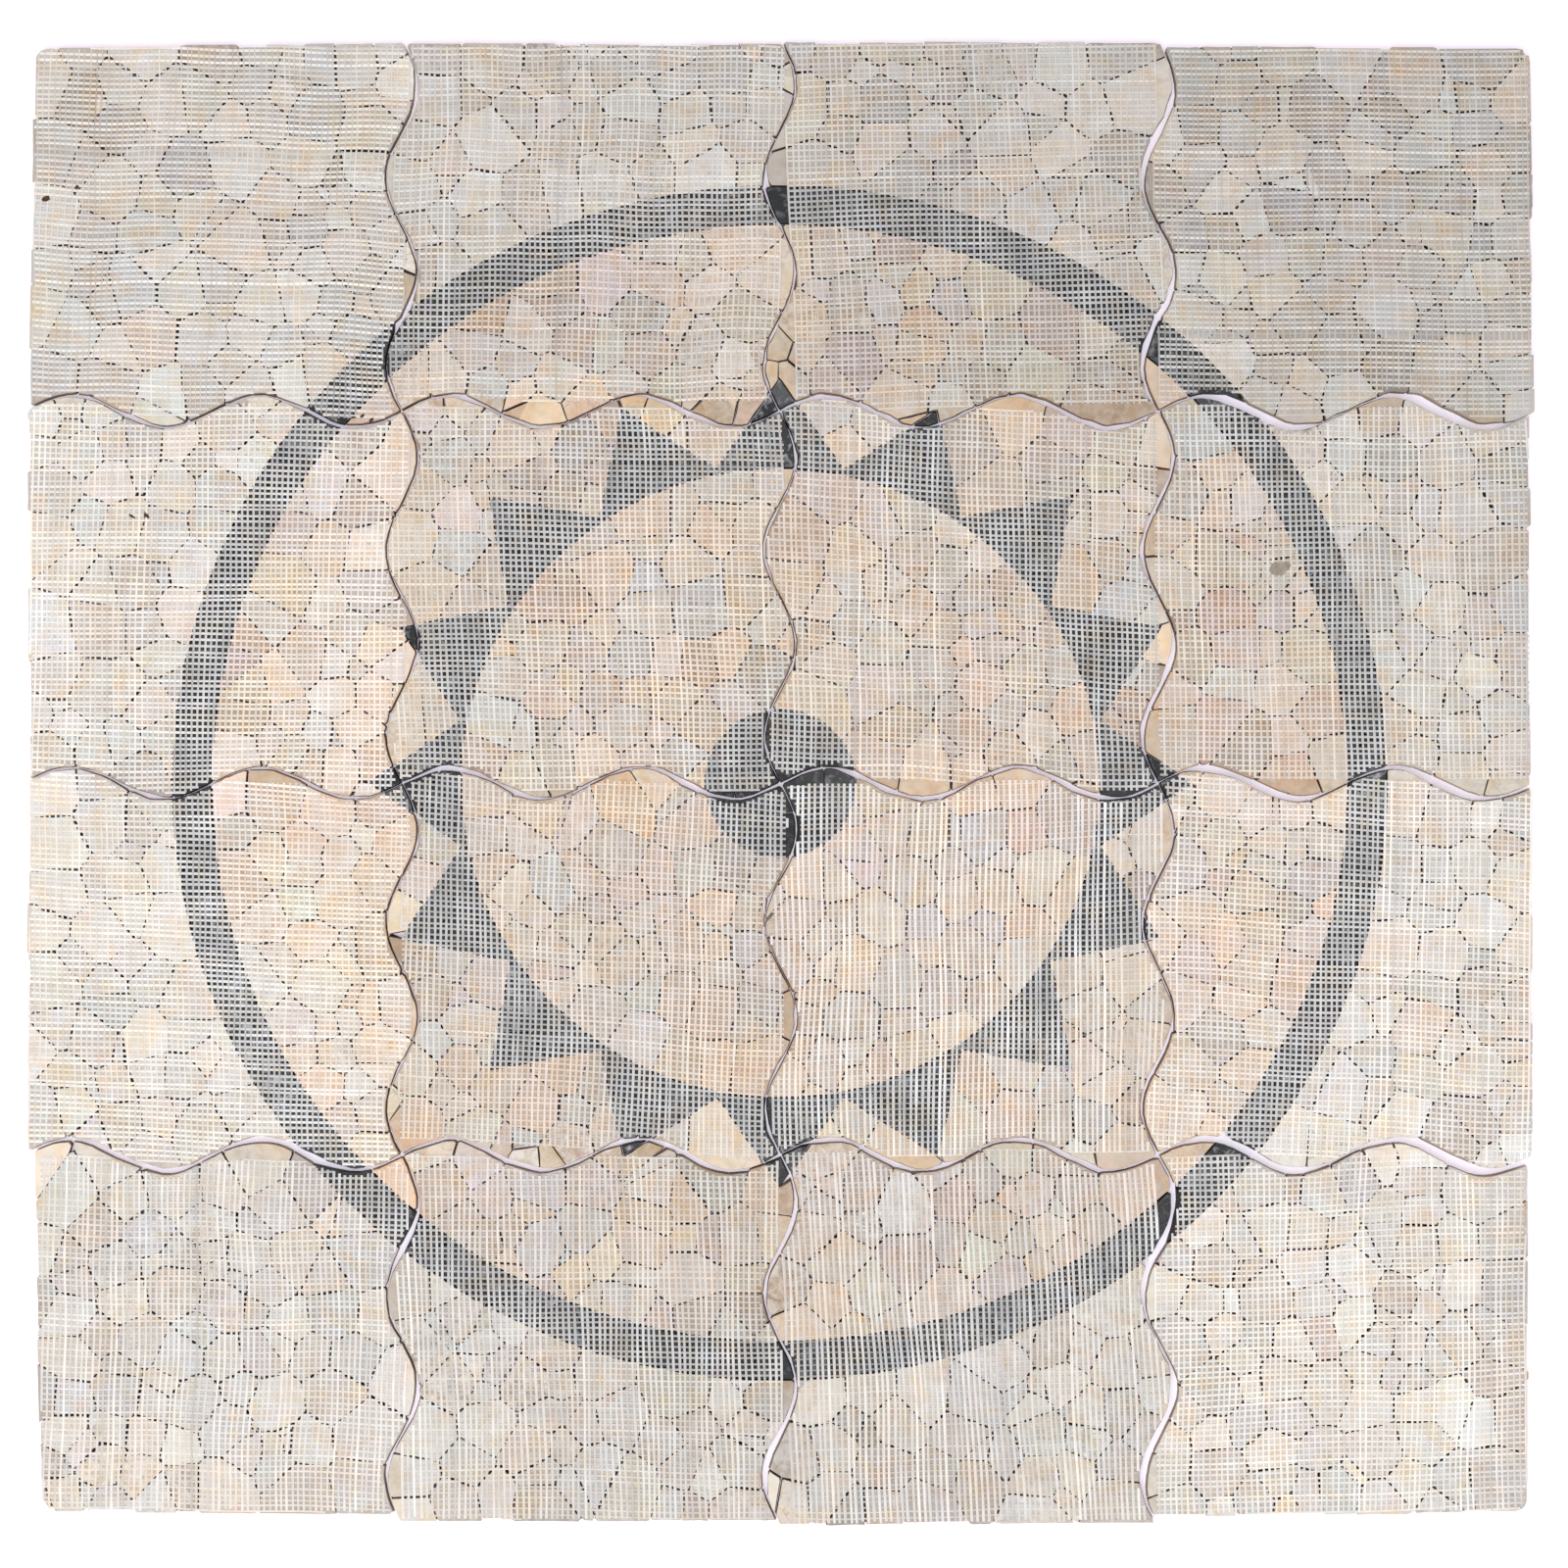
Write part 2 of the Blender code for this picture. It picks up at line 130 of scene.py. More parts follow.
# The stones: the area of one in each zone, the joints between them and how they are broken
OUTER, RING, MIDDLE, INNER, DISC, FIRST_RAY = range(6)
STONE_AREAS = {OUTER: 0.00086, RING: 0.00100, MIDDLE: 0.00082, INNER: 0.00082, DISC: 0.00080}
RAY_STONE_AREA = 0.00080
LEAST_STONE_AREA = 0.000024
SEED_GRID = 0.0025
FILL_ROUNDS = 2
MISSED_SHARE = 0.6
WEIGHT_SHARE = 0.27
DIRECTIONS = 72
MARCH_STEP = 0.001
LONGEST_REACH = 0.046
LEAST_HALF_JOINT = 0.00028
MORE_HALF_JOINT = 0.0011
FOOT_HALF_JOINT = 0.00004
LEAST_BORDER_JOINT = 0.0001
LEAST_REACH = 0.0003
LEAST_STONE_REACH = 0.002
SEAM_INSETS = (0.0, 0.0006)
OUTER_INSETS = (-0.0008, 0.0020)
EDGE_TOLERANCE = 0.00035
LONG_EDGE = 0.009
EDGE_CHIP = 0.0006
CHIP_PLACES = (0.25, 0.75)
STONE_TURN = 0.009
STONE_SHIFT = 0.00012
PALE_TOP = 0.0090
DARK_TOP = 0.0088
TOP_SPREAD = 0.0004
OUTER_SIDE = 0.004
SEAM_SIDE = 0.0008

# A stone's sides: the arris of its polished face, their roughness, how near the outline of the back
# they are half way up and at the shoulder, and the arris of the sawn back
FACE_ARRIS = 0.0005
FACE_ARRIS_HIGH = 0.0006
SIDE_ROUGHNESS = 0.0003
HALF_WAY_SHARE = 0.4
SHOULDER_SHARE = 0.9
SHOULDER_DROP = 0.0005
LEAST_BACK_ARRIS = 0.0001
MORE_BACK_ARRIS = 0.0003
LEAST_RADIUS = 0.001

# The net: its pitch, the size of its threads and how far they stray
NET_PITCH = 0.00455
THREAD_WIDTH = 0.0018
WIDTH_BIAS = 0.00045
THREAD_HEIGHT = 0.00030
LYING_LOW = 0.00903
UPRIGHT_LOW = 0.00916
THREAD_STEP = 0.0015
LONGEST_SEGMENT = 0.014
SHORTEST_RUN = 0.005
NET_EDGE = 0.0006
NET_EDGE_SPREAD = 0.0014
NET_STRAY = 0.0011
THREAD_STRAY = 0.00030
WIDTH_SPREAD = (0.85, 1.15)

# How the net of each sheet lies, first row first: tilts in degrees of the upright and of the lying
# threads, and which of them look the stronger (above zero the upright ones)
NET_LAY = (
    ((1.5, -1.0, -1.0), (0.9, -0.4, -0.2), (-2.5, 1.1, -0.2), (-1.8, -0.2, -0.8)),
    ((1.1, -0.4, -0.3), (-2.0, -0.7, 0.0), (-0.5, -3.1, 0.2), (-1.3, -0.2, 0.2)),
    ((-0.6, -2.0, -0.5), (0.8, -3.3, 0.3), (0.3, 1.2, 0.8), (0.8, -2.7, 0.0)),
    ((1.0, -1.1, 0.3), (-1.4, -0.5, 0.5), (-2.9, 1.1, 1.0), (0.0, 1.8, 0.0)),
)

# How far the net of each sheet reaches past the middle line of each seam, or past an outer edge, in
# millimetres: to the left, to the right, below and above
NET_REACHES = (
    ((6, 5, 6, 6), (9, 4, -6, 6), (-6, 5, -1, 6), (6, 7, 5, 6)),
    ((6, 6, 10, 8), (11, 9, 8, 4), (12, 2, 2, 4), (4, 7, 0, 6)),
    ((6, 10, 9, 5), (3, 5, -3, 6), (9, 5, 2, 4), (12, 7, 4, 7)),
    ((1, 5, 6, -1), (5, 3, 7, 2), (-1, 5, 7, 7), (5, 7, 7, 5)),
)

# Tones, as they look in soft light, from 0 to 255
OUTER_TONES = ((227, 221, 212), (215, 208, 203), (204, 196, 187), (236, 232, 227), (188, 181, 177))
MIDDLE_TONES = ((223, 206, 189), (216, 194, 170), (206, 187, 173), (234, 221, 207), (187, 166, 148))
INNER_TONES = ((210, 190, 170), (216, 197, 178), (212, 185, 156), (226, 209, 189), (190, 167, 146))
DARK_TONES = ((25, 26, 28), (33, 35, 36), (20, 21, 23), (50, 52, 54), (32, 31, 30))
TONE_SHARES = (0.30, 0.26, 0.18, 0.16, 0.10)

# The patches in the pale stones: their scale, where they start and where they are full, how strong
# they are and what they do to the tone
BLUSHES = (
    (46, 0.46, 0.70, 1.0, (1.02, 0.83, 0.59)),
    (64, 0.50, 0.72, 0.9, (1.03, 0.90, 0.89)),
    (58, 0.50, 0.72, 0.8, (0.93, 0.94, 1.04)),
)
TONE_SPREAD = 0.045
OUTER_CAST = 0.018
INNER_CAST = 0.034
ROSY_CAST = 0.50
STONE_LIGHT = 0.79
# How much brighter a stone is painted the more of it lies out of the net: painted light, as the net's shade
# doesn't fall there
BARE_PAINTED_LIGHT = {"pale": (0.44, 0.37, 0.22), "dark": (1.7, 1.7, 1.75)}
NET_TONES = {OUTER: (245, 241, 236), MIDDLE: (246, 240, 234), INNER: (251, 244, 238)}
NET_TONE_OVER_DARK = (244, 244, 245)
THREAD_TONE_SPREAD = 0.10
THREAD_BLUSH = 0.52
# The tone of the painted shade low in the joints between stones
JOINT_SHADE_TONE = (56, 45, 38)
# How much of that painted shade the sides at the seams between sheets take
SEAM_SHADE_SHARE = 0.42
SPECK_TONES = ((92, 66, 38), (52, 40, 26))
SMEAR_TONES = ((182, 172, 160), (150, 138, 122))
LIGHT_SCALE = 1.16
THREAD_SHARE_PALE = 0.75
THREAD_SHARE_DARK = 0.67
THREAD_FADE = 0.09
LEAST_THREAD_SHARE = 0.1
LEAD_SHARE = 0.30

# How bright each sheet is against the usual, and how much glue film lies on it
SHEET_TONES = (
    (1.03, 0.97, 0.89, 0.86),
    (1.16, 1.00, 0.98, 0.99),
    (1.17, 0.95, 1.00, 1.17),
    (1.00, 0.92, 0.90, 1.13),
)
SHEET_FILMS = (
    (0.25, 0.45, 0.30, 0.20),
    (0.30, 0.40, 0.30, 0.30),
    (0.55, 0.35, 0.35, 0.40),
    (0.50, 0.35, 0.45, 0.55),
)
FILM_SWING = 0.8
FILM_SPREAD = (0.5, 1.5)

# The marble: the scales of what is seen in it and on it, how wide its veins are, where the film is full,
# how much of their own tone the broken sides have, and the painted shade in the joints from low to high
CLOUD_SCALE = 55
GRAIN_SCALE = 900
VEIN_SCALE = 38
RELIEF_SCALE = 260
FILM_SCALE = 120
VEIN_WIDTH = 0.03
FILM_FULL = 0.66
SIDE_SHARE = 0.38
# Where the painted shade on the sides of the joints starts, and how much of it lies low and high
JOINT_SHADE_BASE = 0.004
JOINT_SHADE_SHARES = (0.95, 0.35)

# The values that most of a noise lies between, and the half of it in the middle
WHOLE_NOISE = (0.3, 0.7)
MIDDLE_NOISE = (0.35, 0.65)

# The threads: the scales of their streaks across, along and through them, and of the dirt on them
STREAKS_ACROSS = 900
STREAKS_ALONG = 60
STREAKS_DEEP = 400
THREAD_DIRT_SCALE = 45

# The brown flakes and a smear of glue on the net: place, length, width and turn in degrees
SPECKS = (
    (-0.5878, 0.4676, 0.0075, 0.0050, 25),
    (-0.5630, 0.4770, 0.0042, 0.0036, 0),
    (-0.5190, 0.2134, 0.0058, 0.0024, -35),
    (-0.5077, 0.2142, 0.0062, 0.0036, -55),
    (-0.3416, 0.2926, 0.0048, 0.0022, 10),
    (-0.3346, 0.2942, 0.0052, 0.0030, 35),
    (-0.3275, 0.2903, 0.0050, 0.0034, 50),
)
SMEAR = (0.3997, 0.1726, 0.0235, 0.0125, 8)
SPECK_SIDES = 9
SPECK_LOW = 0.00925
SPECK_RINGS = ((1.0, 0.0), (1.0, 0.0001), (0.7, 0.0003))
SPECK_SPREAD = (0.65, 1.15)

# The camera: how much of the floor it sees, where its middle is, and its sensor in millimetres
VIEW_WIDTH = 1.2552
VIEW_MIDDLE_X = 0.0027
VIEW_MIDDLE_Y = -0.0008
CAMERA_HEIGHT = 3.2
SENSOR_WIDTH = 36

# The floor and the light
FLOOR_HALF = 4.0
FLOOR_DROP = 0.0003
FLOOR_TINTS = ((0.86, 0.83, 0.90, 1), (0.90, 0.87, 0.93, 1))
# The floor glows, though it is no lamp: painted light that brightens the gaps between the sheets and takes
# away the panel's shadow
FLOOR_GLOW = (0.82, 0.76, 0.90, 1)
FLOOR_GLOW_STRENGTH = 0.42
LAMP_SIZE = 2.4
LAMP_POWER = 50
LAMP_PLACE = (-0.5, -1.4, 2.6)
LAMP_TILT = (28, -10, 0)
ROOM_LIGHT = 0.75


def phase(position, pitch):
    """Where a place along a seam is in its waves."""
    return 2 * math.pi * WAVES_A_SHEET * position / pitch


def seam_x(index, y):
    return (index - SHEETS_A_SIDE / 2) * SEAM_PITCH_X - WAVE_HEIGHT * np.sin(phase(y, SEAM_PITCH_Y))


def seam_y(index, x):
    return (SHEETS_A_SIDE / 2 - index) * SEAM_PITCH_Y + WAVE_HEIGHT * np.sin(phase(x, SEAM_PITCH_X))


def sheet_corners(row, column):
    """The left, right, bottom and top of a sheet where its edges cross."""
    last = SHEETS_A_SIDE - 1
    half_x = (SHEETS_A_SIDE / 2 - 1) * SEAM_PITCH_X + OUTER_SHEET_X
    half_y = (SHEETS_A_SIDE / 2 - 1) * SEAM_PITCH_Y + OUTER_SHEET_Y
    left = seam_x(column, 0) + SEAM_GAP / 2 if column > 0 else LEFT_INSETS[row] - half_x
    right = seam_x(column + 1, 0) - SEAM_GAP / 2 if column < last else half_x - RIGHT_INSETS[row]
    bottom = seam_y(row + 1, 0) + SEAM_GAP / 2 if row < last else BOTTOM_INSETS[column] - half_y
    top = seam_y(row, 0) - SEAM_GAP / 2 if row > 0 else half_y - TOP_INSETS[column]
    return left, right, bottom, top


def wave_rise(position, pitch):
    """How much longer a slanting stretch of a seam is than its length along the sheet."""
    slope = 2 * math.pi * WAVES_A_SHEET * WAVE_HEIGHT / pitch * np.cos(phase(position, pitch))
    return np.hypot(1, slope)


def lay_sheets():
    """Where each sheet lies: its own middle, its shift and its turn, by the CAD model's own rule."""
    draw = random.Random(LAY_SEED)
    lays = {}
    for row in range(SHEETS_A_SIDE):
        for column in range(SHEETS_A_SIDE):
            left, right, bottom, top = sheet_corners(row, column)
            shift = np.array([draw.uniform(-LAY_SHIFT, LAY_SHIFT) for _ in range(2)])
            turn = draw.uniform(-LAY_TURN, LAY_TURN)
            lays[row, column] = np.array([(left + right) / 2, (bottom + top) / 2]), shift, turn
    return lays


LAYS = lay_sheets()


def moved(place, axis, x, y):
    """How far the points of a sheet are moved along one axis by the way that it lies."""
    middle, shift, turn = LAYS[place]
    return shift[0] - turn * (y - middle[1]) if axis == 0 else shift[1] + turn * (x - middle[0])


def half_gap(gap, wave, place, x, y, foot):
    """Half of a gap. The stones reach further into it at their foot, on the polished face."""
    usual, swing = gap
    half = (usual - swing * np.cos(wave)) / 2 + SEAM_WOBBLE * WOBBLES[place](x, y)
    if foot:
        return np.maximum(half - FOOT_REACH, LEAST_FOOT_GAP / 2)
    return np.maximum(half, LEAST_GAP / 2)


def seam_depth(row, column, x, y, foot=False):
    """How far points are inside the wavy edges of a sheet.

    An edge takes half of the gap, and half of what the sheet has moved out more than its neighbour."""
    place = row, column
    edges = (
        (0, column, (row, column - 1), -1),
        (0, column + 1, (row, column + 1), 1),
        (1, row, (row - 1, column), 1),
        (1, row + 1, (row + 1, column), -1),
    )
    depth = np.full(np.shape(x), LONGEST_REACH)
    for axis, seam, other, out in edges:
        if 0 < seam < SHEETS_A_SIDE:
            gap = LYING_GAPS[seam - 1][column] if axis else UPRIGHT_GAPS[seam - 1][row]
            along, pitch = (x, SEAM_PITCH_X) if axis else (y, SEAM_PITCH_Y)
            away = out * (seam_y(seam, x) - y if axis else seam_x(seam, y) - x)
            push = (moved(other, axis, x, y) - moved(place, axis, x, y)) / 2
            share = half_gap(gap, phase(along, pitch), place, x, y, foot) - out * push
            depth = np.minimum(depth, (away - share) / wave_rise(along, pitch))
    return depth


def outer_depth(row, column, x, y):
    """How far points are inside the straight outer edges of a sheet, with the panel's own corners round."""
    last = SHEETS_A_SIDE - 1
    left, right, bottom, top = sheet_corners(row, column)
    far = np.full(np.shape(x), LONGEST_REACH)
    across, along = far, far
    lean_x = 2 * (x - (left + right) / 2) / (right - left)
    lean_y = 2 * (y - (bottom + top) / 2) / (top - bottom)
    if column == 0:
        across = x - left - LEFT_LEANS[row] * lean_y
    if column == last:
        across = right - x - RIGHT_LEANS[row] * lean_y
    if row == 0:
        along = top - y + TOP_LEANS[column] * lean_x
    if row == last:
        along = y - bottom + BOTTOM_LEANS[column] * lean_x
    round_x = np.maximum(CORNER_RADIUS - across, 0)
    round_y = np.maximum(CORNER_RADIUS - along, 0)
    return np.minimum(np.minimum(across, along), CORNER_RADIUS - np.hypot(round_x, round_y))


def ray_side_depth(across_tip, off_axis):
    """How far points are inside the slanting sides of a ray, from its own axes."""
    half = math.pi / RAYS
    foot = RAY_BASE_RADIUS + RAY_FOOT
    run = foot * math.cos(half) - RAY_TIP_RADIUS
    rise = foot * math.sin(half)
    length = math.hypot(run, rise)
    return ((RAY_TIP_RADIUS - across_tip) * rise + off_axis * run) / length


def region_depth(region, x, y):
    """How far points are inside one region of the pattern: a zone, or a single ray."""
    y = y / PATTERN_SQUEEZE
    radius = np.hypot(x, y)
    if region == OUTER:
        return radius - RING_OUTER_RADIUS
    if region == RING:
        return np.minimum(RING_OUTER_RADIUS - radius, radius - RING_INNER_RADIUS)
    if region == INNER:
        return np.minimum(RAY_BASE_RADIUS - radius, radius - DISC_RADIUS)
    if region == DISC:
        return DISC_RADIUS - radius
    step = 2 * math.pi / RAYS
    angle = np.arctan2(y, x)
    if region == MIDDLE:
        fold = angle - step * np.round(angle / step)
    else:
        fold = (angle - step * (region - FIRST_RAY) + math.pi) % (2 * math.pi) - math.pi
    side = ray_side_depth(radius * np.cos(fold), np.abs(radius * np.sin(fold)))
    if region == MIDDLE:
        return np.minimum(RING_INNER_RADIUS - radius, -side)
    beside = radius * np.sin(np.clip(step / 2 - np.abs(fold), -math.pi / 2, math.pi / 2))
    return np.minimum(np.minimum(radius - RAY_BASE_RADIUS, side), beside)


def region_at(x, y):
    """The region of the pattern that each point is in."""
    found = np.full(np.shape(x), MIDDLE)
    for zone in (OUTER, RING, INNER, DISC):
        found[region_depth(zone, x, y) > 0] = zone
    step = 2 * math.pi / RAYS
    ray = np.round(np.arctan2(y / PATTERN_SQUEEZE, x) / step).astype(int) % RAYS
    in_ray = (found == MIDDLE) & (region_depth(MIDDLE, x, y) <= 0)
    found[in_ray] = FIRST_RAY + ray[in_ray]
    return found


def is_dark(region):
    return region in (RING, DISC) or region >= FIRST_RAY


def smooth_field(draw, waves, shortest, longest):
    """A slowly changing field between about -1 and 1, as a sum of a few slanting waves."""
    terms = []
    for _ in range(waves):
        angle = draw.uniform(0, 2 * math.pi)
        wave = 2 * math.pi / draw.uniform(shortest, longest)
        terms.append((wave * math.cos(angle), wave * math.sin(angle), draw.uniform(0, 2 * math.pi)))

    def field(x, y):
        return sum(np.sin(a * x + b * y + c) for a, b, c in terms) / math.sqrt(waves)

    return field


WOBBLES = {
    (row, column): smooth_field(random.Random(WOBBLE_SEED + 10 * row + column), *WOBBLE_WAVES)
    for row, column in LAYS
}


def ways_round(count):
    """So many directions, evenly spread round a point."""
    angles = 2 * math.pi * np.arange(count) / count
    return np.column_stack([np.cos(angles), np.sin(angles)])


class Region:
    """The stones of one region of the pattern in one sheet: their seeds, weights and outlines."""

    def __init__(self, sheet, number, x, y, draw):
        self.sheet = sheet
        self.number = number
        self.x = x
        self.y = y
        self.draw = draw
        self.area = STONE_AREAS.get(number, RAY_STONE_AREA)
        count = max(1, round(len(x) * SEED_GRID**2 / self.area))
        picks = draw.sample(range(len(x)), count)
        self.seeds = np.column_stack([x[picks], y[picks]])
        self.weights = np.array([draw.uniform(-1, 1) for _ in picks]) * WEIGHT_SHARE * self.area

    def owner(self, x, y):
        """The stone that each point belongs to."""
        gaps = (x[:, None] - self.seeds[None, :, 0])**2 + (y[:, None] - self.seeds[None, :, 1])**2
        return np.argmin(gaps - self.weights[None, :], axis=1)

    def relax(self):
        """Moves each seed to the middle of what belongs to it."""
        owner = self.owner(self.x, self.y)
        for index in range(len(self.seeds)):
            mine = owner == index
            if mine.any():
                self.seeds[index] = self.x[mine].mean(), self.y[mine].mean()
        self.pull_inside()

    def pull_inside(self):
        """Puts a seed that isn't inside its region on the nearest point that is."""
        x, y = self.seeds[:, 0], self.seeds[:, 1]
        inside = region_depth(self.number, x, y) > SEED_GRID
        inside &= sheet_depth(*self.sheet, x, y) > SEED_GRID
        for index in np.flatnonzero(~inside):
            nearest = np.argmin(np.hypot(self.x - x[index], self.y - y[index]))
            self.seeds[index] = self.x[nearest], self.y[nearest]

    def reaches(self, half_joints, edge_insets, foot=False):
        """How far each stone reaches from its seed in each direction, at its back or at its foot."""
        ways = ways_round(DIRECTIONS)
        steps = np.arange(1, round(LONGEST_REACH / MARCH_STEP) + 1) * MARCH_STEP
        px, py = (self.seeds[:, axis, None, None] + ways[None, :, axis, None] * steps for axis in (0, 1))
        limit = np.maximum(half_joints.mean(axis=1), LEAST_BORDER_JOINT)[:, None, None]
        depth = region_depth(self.number, px, py) - limit
        depth = np.minimum(depth, seam_depth(*self.sheet, px, py, foot) - edge_insets[:, 0, None, None])
        depth = np.minimum(depth, outer_depth(*self.sheet, px, py) - edge_insets[:, 1, None, None])
        outside = depth < 0
        first = np.where(outside.any(axis=2), outside.argmax(axis=2), len(steps) - 1)
        here = np.take_along_axis(depth, first[..., None], axis=2)[..., 0]
        before = np.take_along_axis(depth, np.maximum(first - 1, 0)[..., None], axis=2)[..., 0]
        part = np.clip(before / np.maximum(before - here, MARCH_STEP / 100), 0, 1)
        reach = (first + np.where(first > 0, part, 0)) * MARCH_STEP
        for index in range(len(self.seeds)):
            reach[index] = np.minimum(reach[index], self.bisector_reach(index, ways, half_joints[index]))
        return reach

    def bisector_reach(self, index, ways, half_joint):
        """How far a stone reaches before it comes to the joint with a neighbour."""
        others = np.delete(np.arange(len(self.seeds)), index)
        if not len(others):
            return np.full(DIRECTIONS, LONGEST_REACH)
        away = self.seeds[others] - self.seeds[index]
        gaps = np.hypot(away[:, 0], away[:, 1])
        share = (self.weights[index] - self.weights[others]) / (2 * gaps)
        limits = gaps / 2 + share - half_joint[others]
        facing = ways @ (away / gaps[:, None]).T
        with np.errstate(divide="ignore", invalid="ignore"):
            reach = np.where(facing > 0.001, limits[None, :] / facing, LONGEST_REACH)
        return np.clip(reach.min(axis=1), 0, LONGEST_REACH)

    def fill_gaps(self):
        """Adds a stone where the stones that are there can't reach."""
        count = len(self.seeds)
        reach = self.reaches(np.zeros((count, count)), np.zeros((count, 2)))
        owner = self.owner(self.x, self.y)
        dx, dy = self.x - self.seeds[owner, 0], self.y - self.seeds[owner, 1]
        way = np.round(np.arctan2(dy, dx) / (2 * math.pi) * DIRECTIONS).astype(int) % DIRECTIONS
        missed = np.hypot(dx, dy) > reach[owner, way] + MISSED_SHARE * SEED_GRID
        added = []
        for index in range(len(self.seeds)):
            mine = missed & (owner == index)
            if mine.sum() * SEED_GRID**2 > LEAST_STONE_AREA:
                mean_x, mean_y = self.x[mine].mean(), self.y[mine].mean()
                nearest = np.argmin(np.where(mine, np.hypot(self.x - mean_x, self.y - mean_y), 1))
                added.append((self.x[nearest], self.y[nearest]))
        if added:
            self.seeds = np.vstack([self.seeds, added])
            self.weights = np.append(self.weights, np.zeros(len(added)))

    def outlines(self):
        """The outline of each stone at its back and at its foot, as points round its seed."""
        draw, count = self.draw, len(self.seeds)
        half = np.array([[LEAST_HALF_JOINT + MORE_HALF_JOINT * draw.random()**2 for _ in range(count)]
                         for _ in range(count)])
        half = (half + half.T) / 2
        insets = np.array([(draw.uniform(*SEAM_INSETS), draw.uniform(*OUTER_INSETS)) for _ in range(count)])
        foot_joints = np.full((count, count), FOOT_HALF_JOINT)
        feet = np.maximum(self.reaches(foot_joints, insets * (0, 1), True), LEAST_REACH)
        backs = np.clip(self.reaches(half, insets), LEAST_REACH, feet)
        return [stone_outline(back, foot, draw) for back, foot in zip(backs, feet)]


def sheet_depth(row, column, x, y):
    return np.minimum(seam_depth(row, column, x, y), outer_depth(row, column, x, y))


def simplified(points):
    """The rows of an outline that stand out, at the back or at the foot, from the line between others."""
    far = int(np.argmax(np.hypot(points[:, 0], points[:, 1])))
    points = np.roll(points, -far, axis=0)
    other = int(np.argmax(np.hypot(*(points - points[0])[:, :2].T)))
    closed = np.vstack([points, points[:1]])
    kept = {0, other}
    spans = [(0, other), (other, len(points))]
    while spans:
        start, end = spans.pop()
        if end - start < 2:
            continue
        away = np.zeros(end - start - 1)
        for side in (slice(0, 2), slice(2, 4)):
            line = (closed[end] - closed[start])[side]
            off = (closed[start + 1:end] - closed[start])[:, side]
            length = max(math.hypot(*line), 1e-9)
            away = np.maximum(away, np.abs(off[:, 0] * line[1] - off[:, 1] * line[0]) / length)
        worst = int(np.argmax(away))
        if away[worst] > EDGE_TOLERANCE:
            middle = start + 1 + worst
            kept.add(middle)
            spans += [(start, middle), (middle, end)]
    return points[sorted(kept)]


def stone_outline(back, foot, draw):
    """A broken outline with small chips in its longer edges.

    Each row has a point of the back and then the one below it at the foot."""
    ways = ways_round(DIRECTIONS)
    points = simplified(np.hstack([back[:, None] * ways, foot[:, None] * ways]))
    outline = []
    for start, end in zip(points, np.roll(points, -1, axis=0)):
        outline.append(start)
        length = math.hypot(*(end - start)[:2])
        if length > LONG_EDGE:
            middle = start + (end - start) * draw.uniform(*CHIP_PLACES)
            out = math.hypot(*middle[:2])
            chip = 1 - EDGE_CHIP * draw.random()**2 / max(out, EDGE_CHIP)
            outline.append(middle * (chip, chip, 1, 1))
    x_back, y_back, x_foot, y_foot = np.array(outline).T
    turn = draw.uniform(-STONE_TURN, STONE_TURN)
    shift_x, shift_y = (draw.uniform(-STONE_SHIFT, STONE_SHIFT) for _ in range(2))
    x_turned = x_back - turn * y_back + shift_x
    y_turned = y_back + turn * x_back + shift_y
    return np.column_stack([x_turned, y_turned, x_foot, y_foot])


def linear(tone):
    """A tone from 0 to 255 as a linear colour, for a surface in this light."""
    share = np.asarray(tone, dtype=float) / 255
    value = np.where(share <= 0.04045, share / 12.92, ((share + 0.055) / 1.055) ** 2.4)
    return value / LIGHT_SCALE


def stone_tones(region, brightness, draw):
    """The tone of a stone and that of the threads over it, which share its cast of warm or rosy."""
    if is_dark(region):
        tone = np.array(draw.choices(DARK_TONES, TONE_SHARES)[0], dtype=float)
        return linear(tone * draw.gauss(1, TONE_SPREAD)), linear(NET_TONE_OVER_DARK)
    tones = {OUTER: OUTER_TONES, MIDDLE: MIDDLE_TONES, INNER: INNER_TONES}[region]
    tone = np.array(draw.choices(tones, TONE_SHARES)[0], dtype=float)
    spread = OUTER_CAST if region == OUTER else INNER_CAST
    warm, rosy = draw.gauss(0, spread), draw.gauss(0, spread * ROSY_CAST)
    cast = np.array([1 + warm, 1 - rosy, 1 - warm])
    stone = linear(np.clip(tone * draw.gauss(1, TONE_SPREAD), 0, 250))
    return stone * cast * brightness * STONE_LIGHT, linear(NET_TONES[region]) * cast


def name_end(row, column):
    return f"r{row + 1}c{column + 1}"


def panel_offset(nodes):
    """How far the CAD model has moved the whole pattern, from the four sheets in the middle."""
    moves = []
    for place, (middle, shift, _) in LAYS.items():
        if all(0 < index < SHEETS_A_SIDE - 1 for index in place):
            boxes = np.array([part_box(node) for node in nodes if name_end(*place) in node])
            centre = (boxes[:, 0, :2].min(axis=0) + boxes[:, 1, :2].max(axis=0)) / 2
            moves.append(centre - middle - shift)
    return np.mean(moves, axis=0)


def turned(points, angle):
    """Points of the plane, turned about its origin."""
    cosine, sine = math.cos(angle), math.sin(angle)
    x, y = points[:, 0], points[:, 1]
    return np.column_stack([x * cosine - y * sine, x * sine + y * cosine])


def put_in_scene(name, data):
    thing = bpy.data.objects.new(name, data)
    bpy.context.scene.collection.objects.link(thing)
    return thing


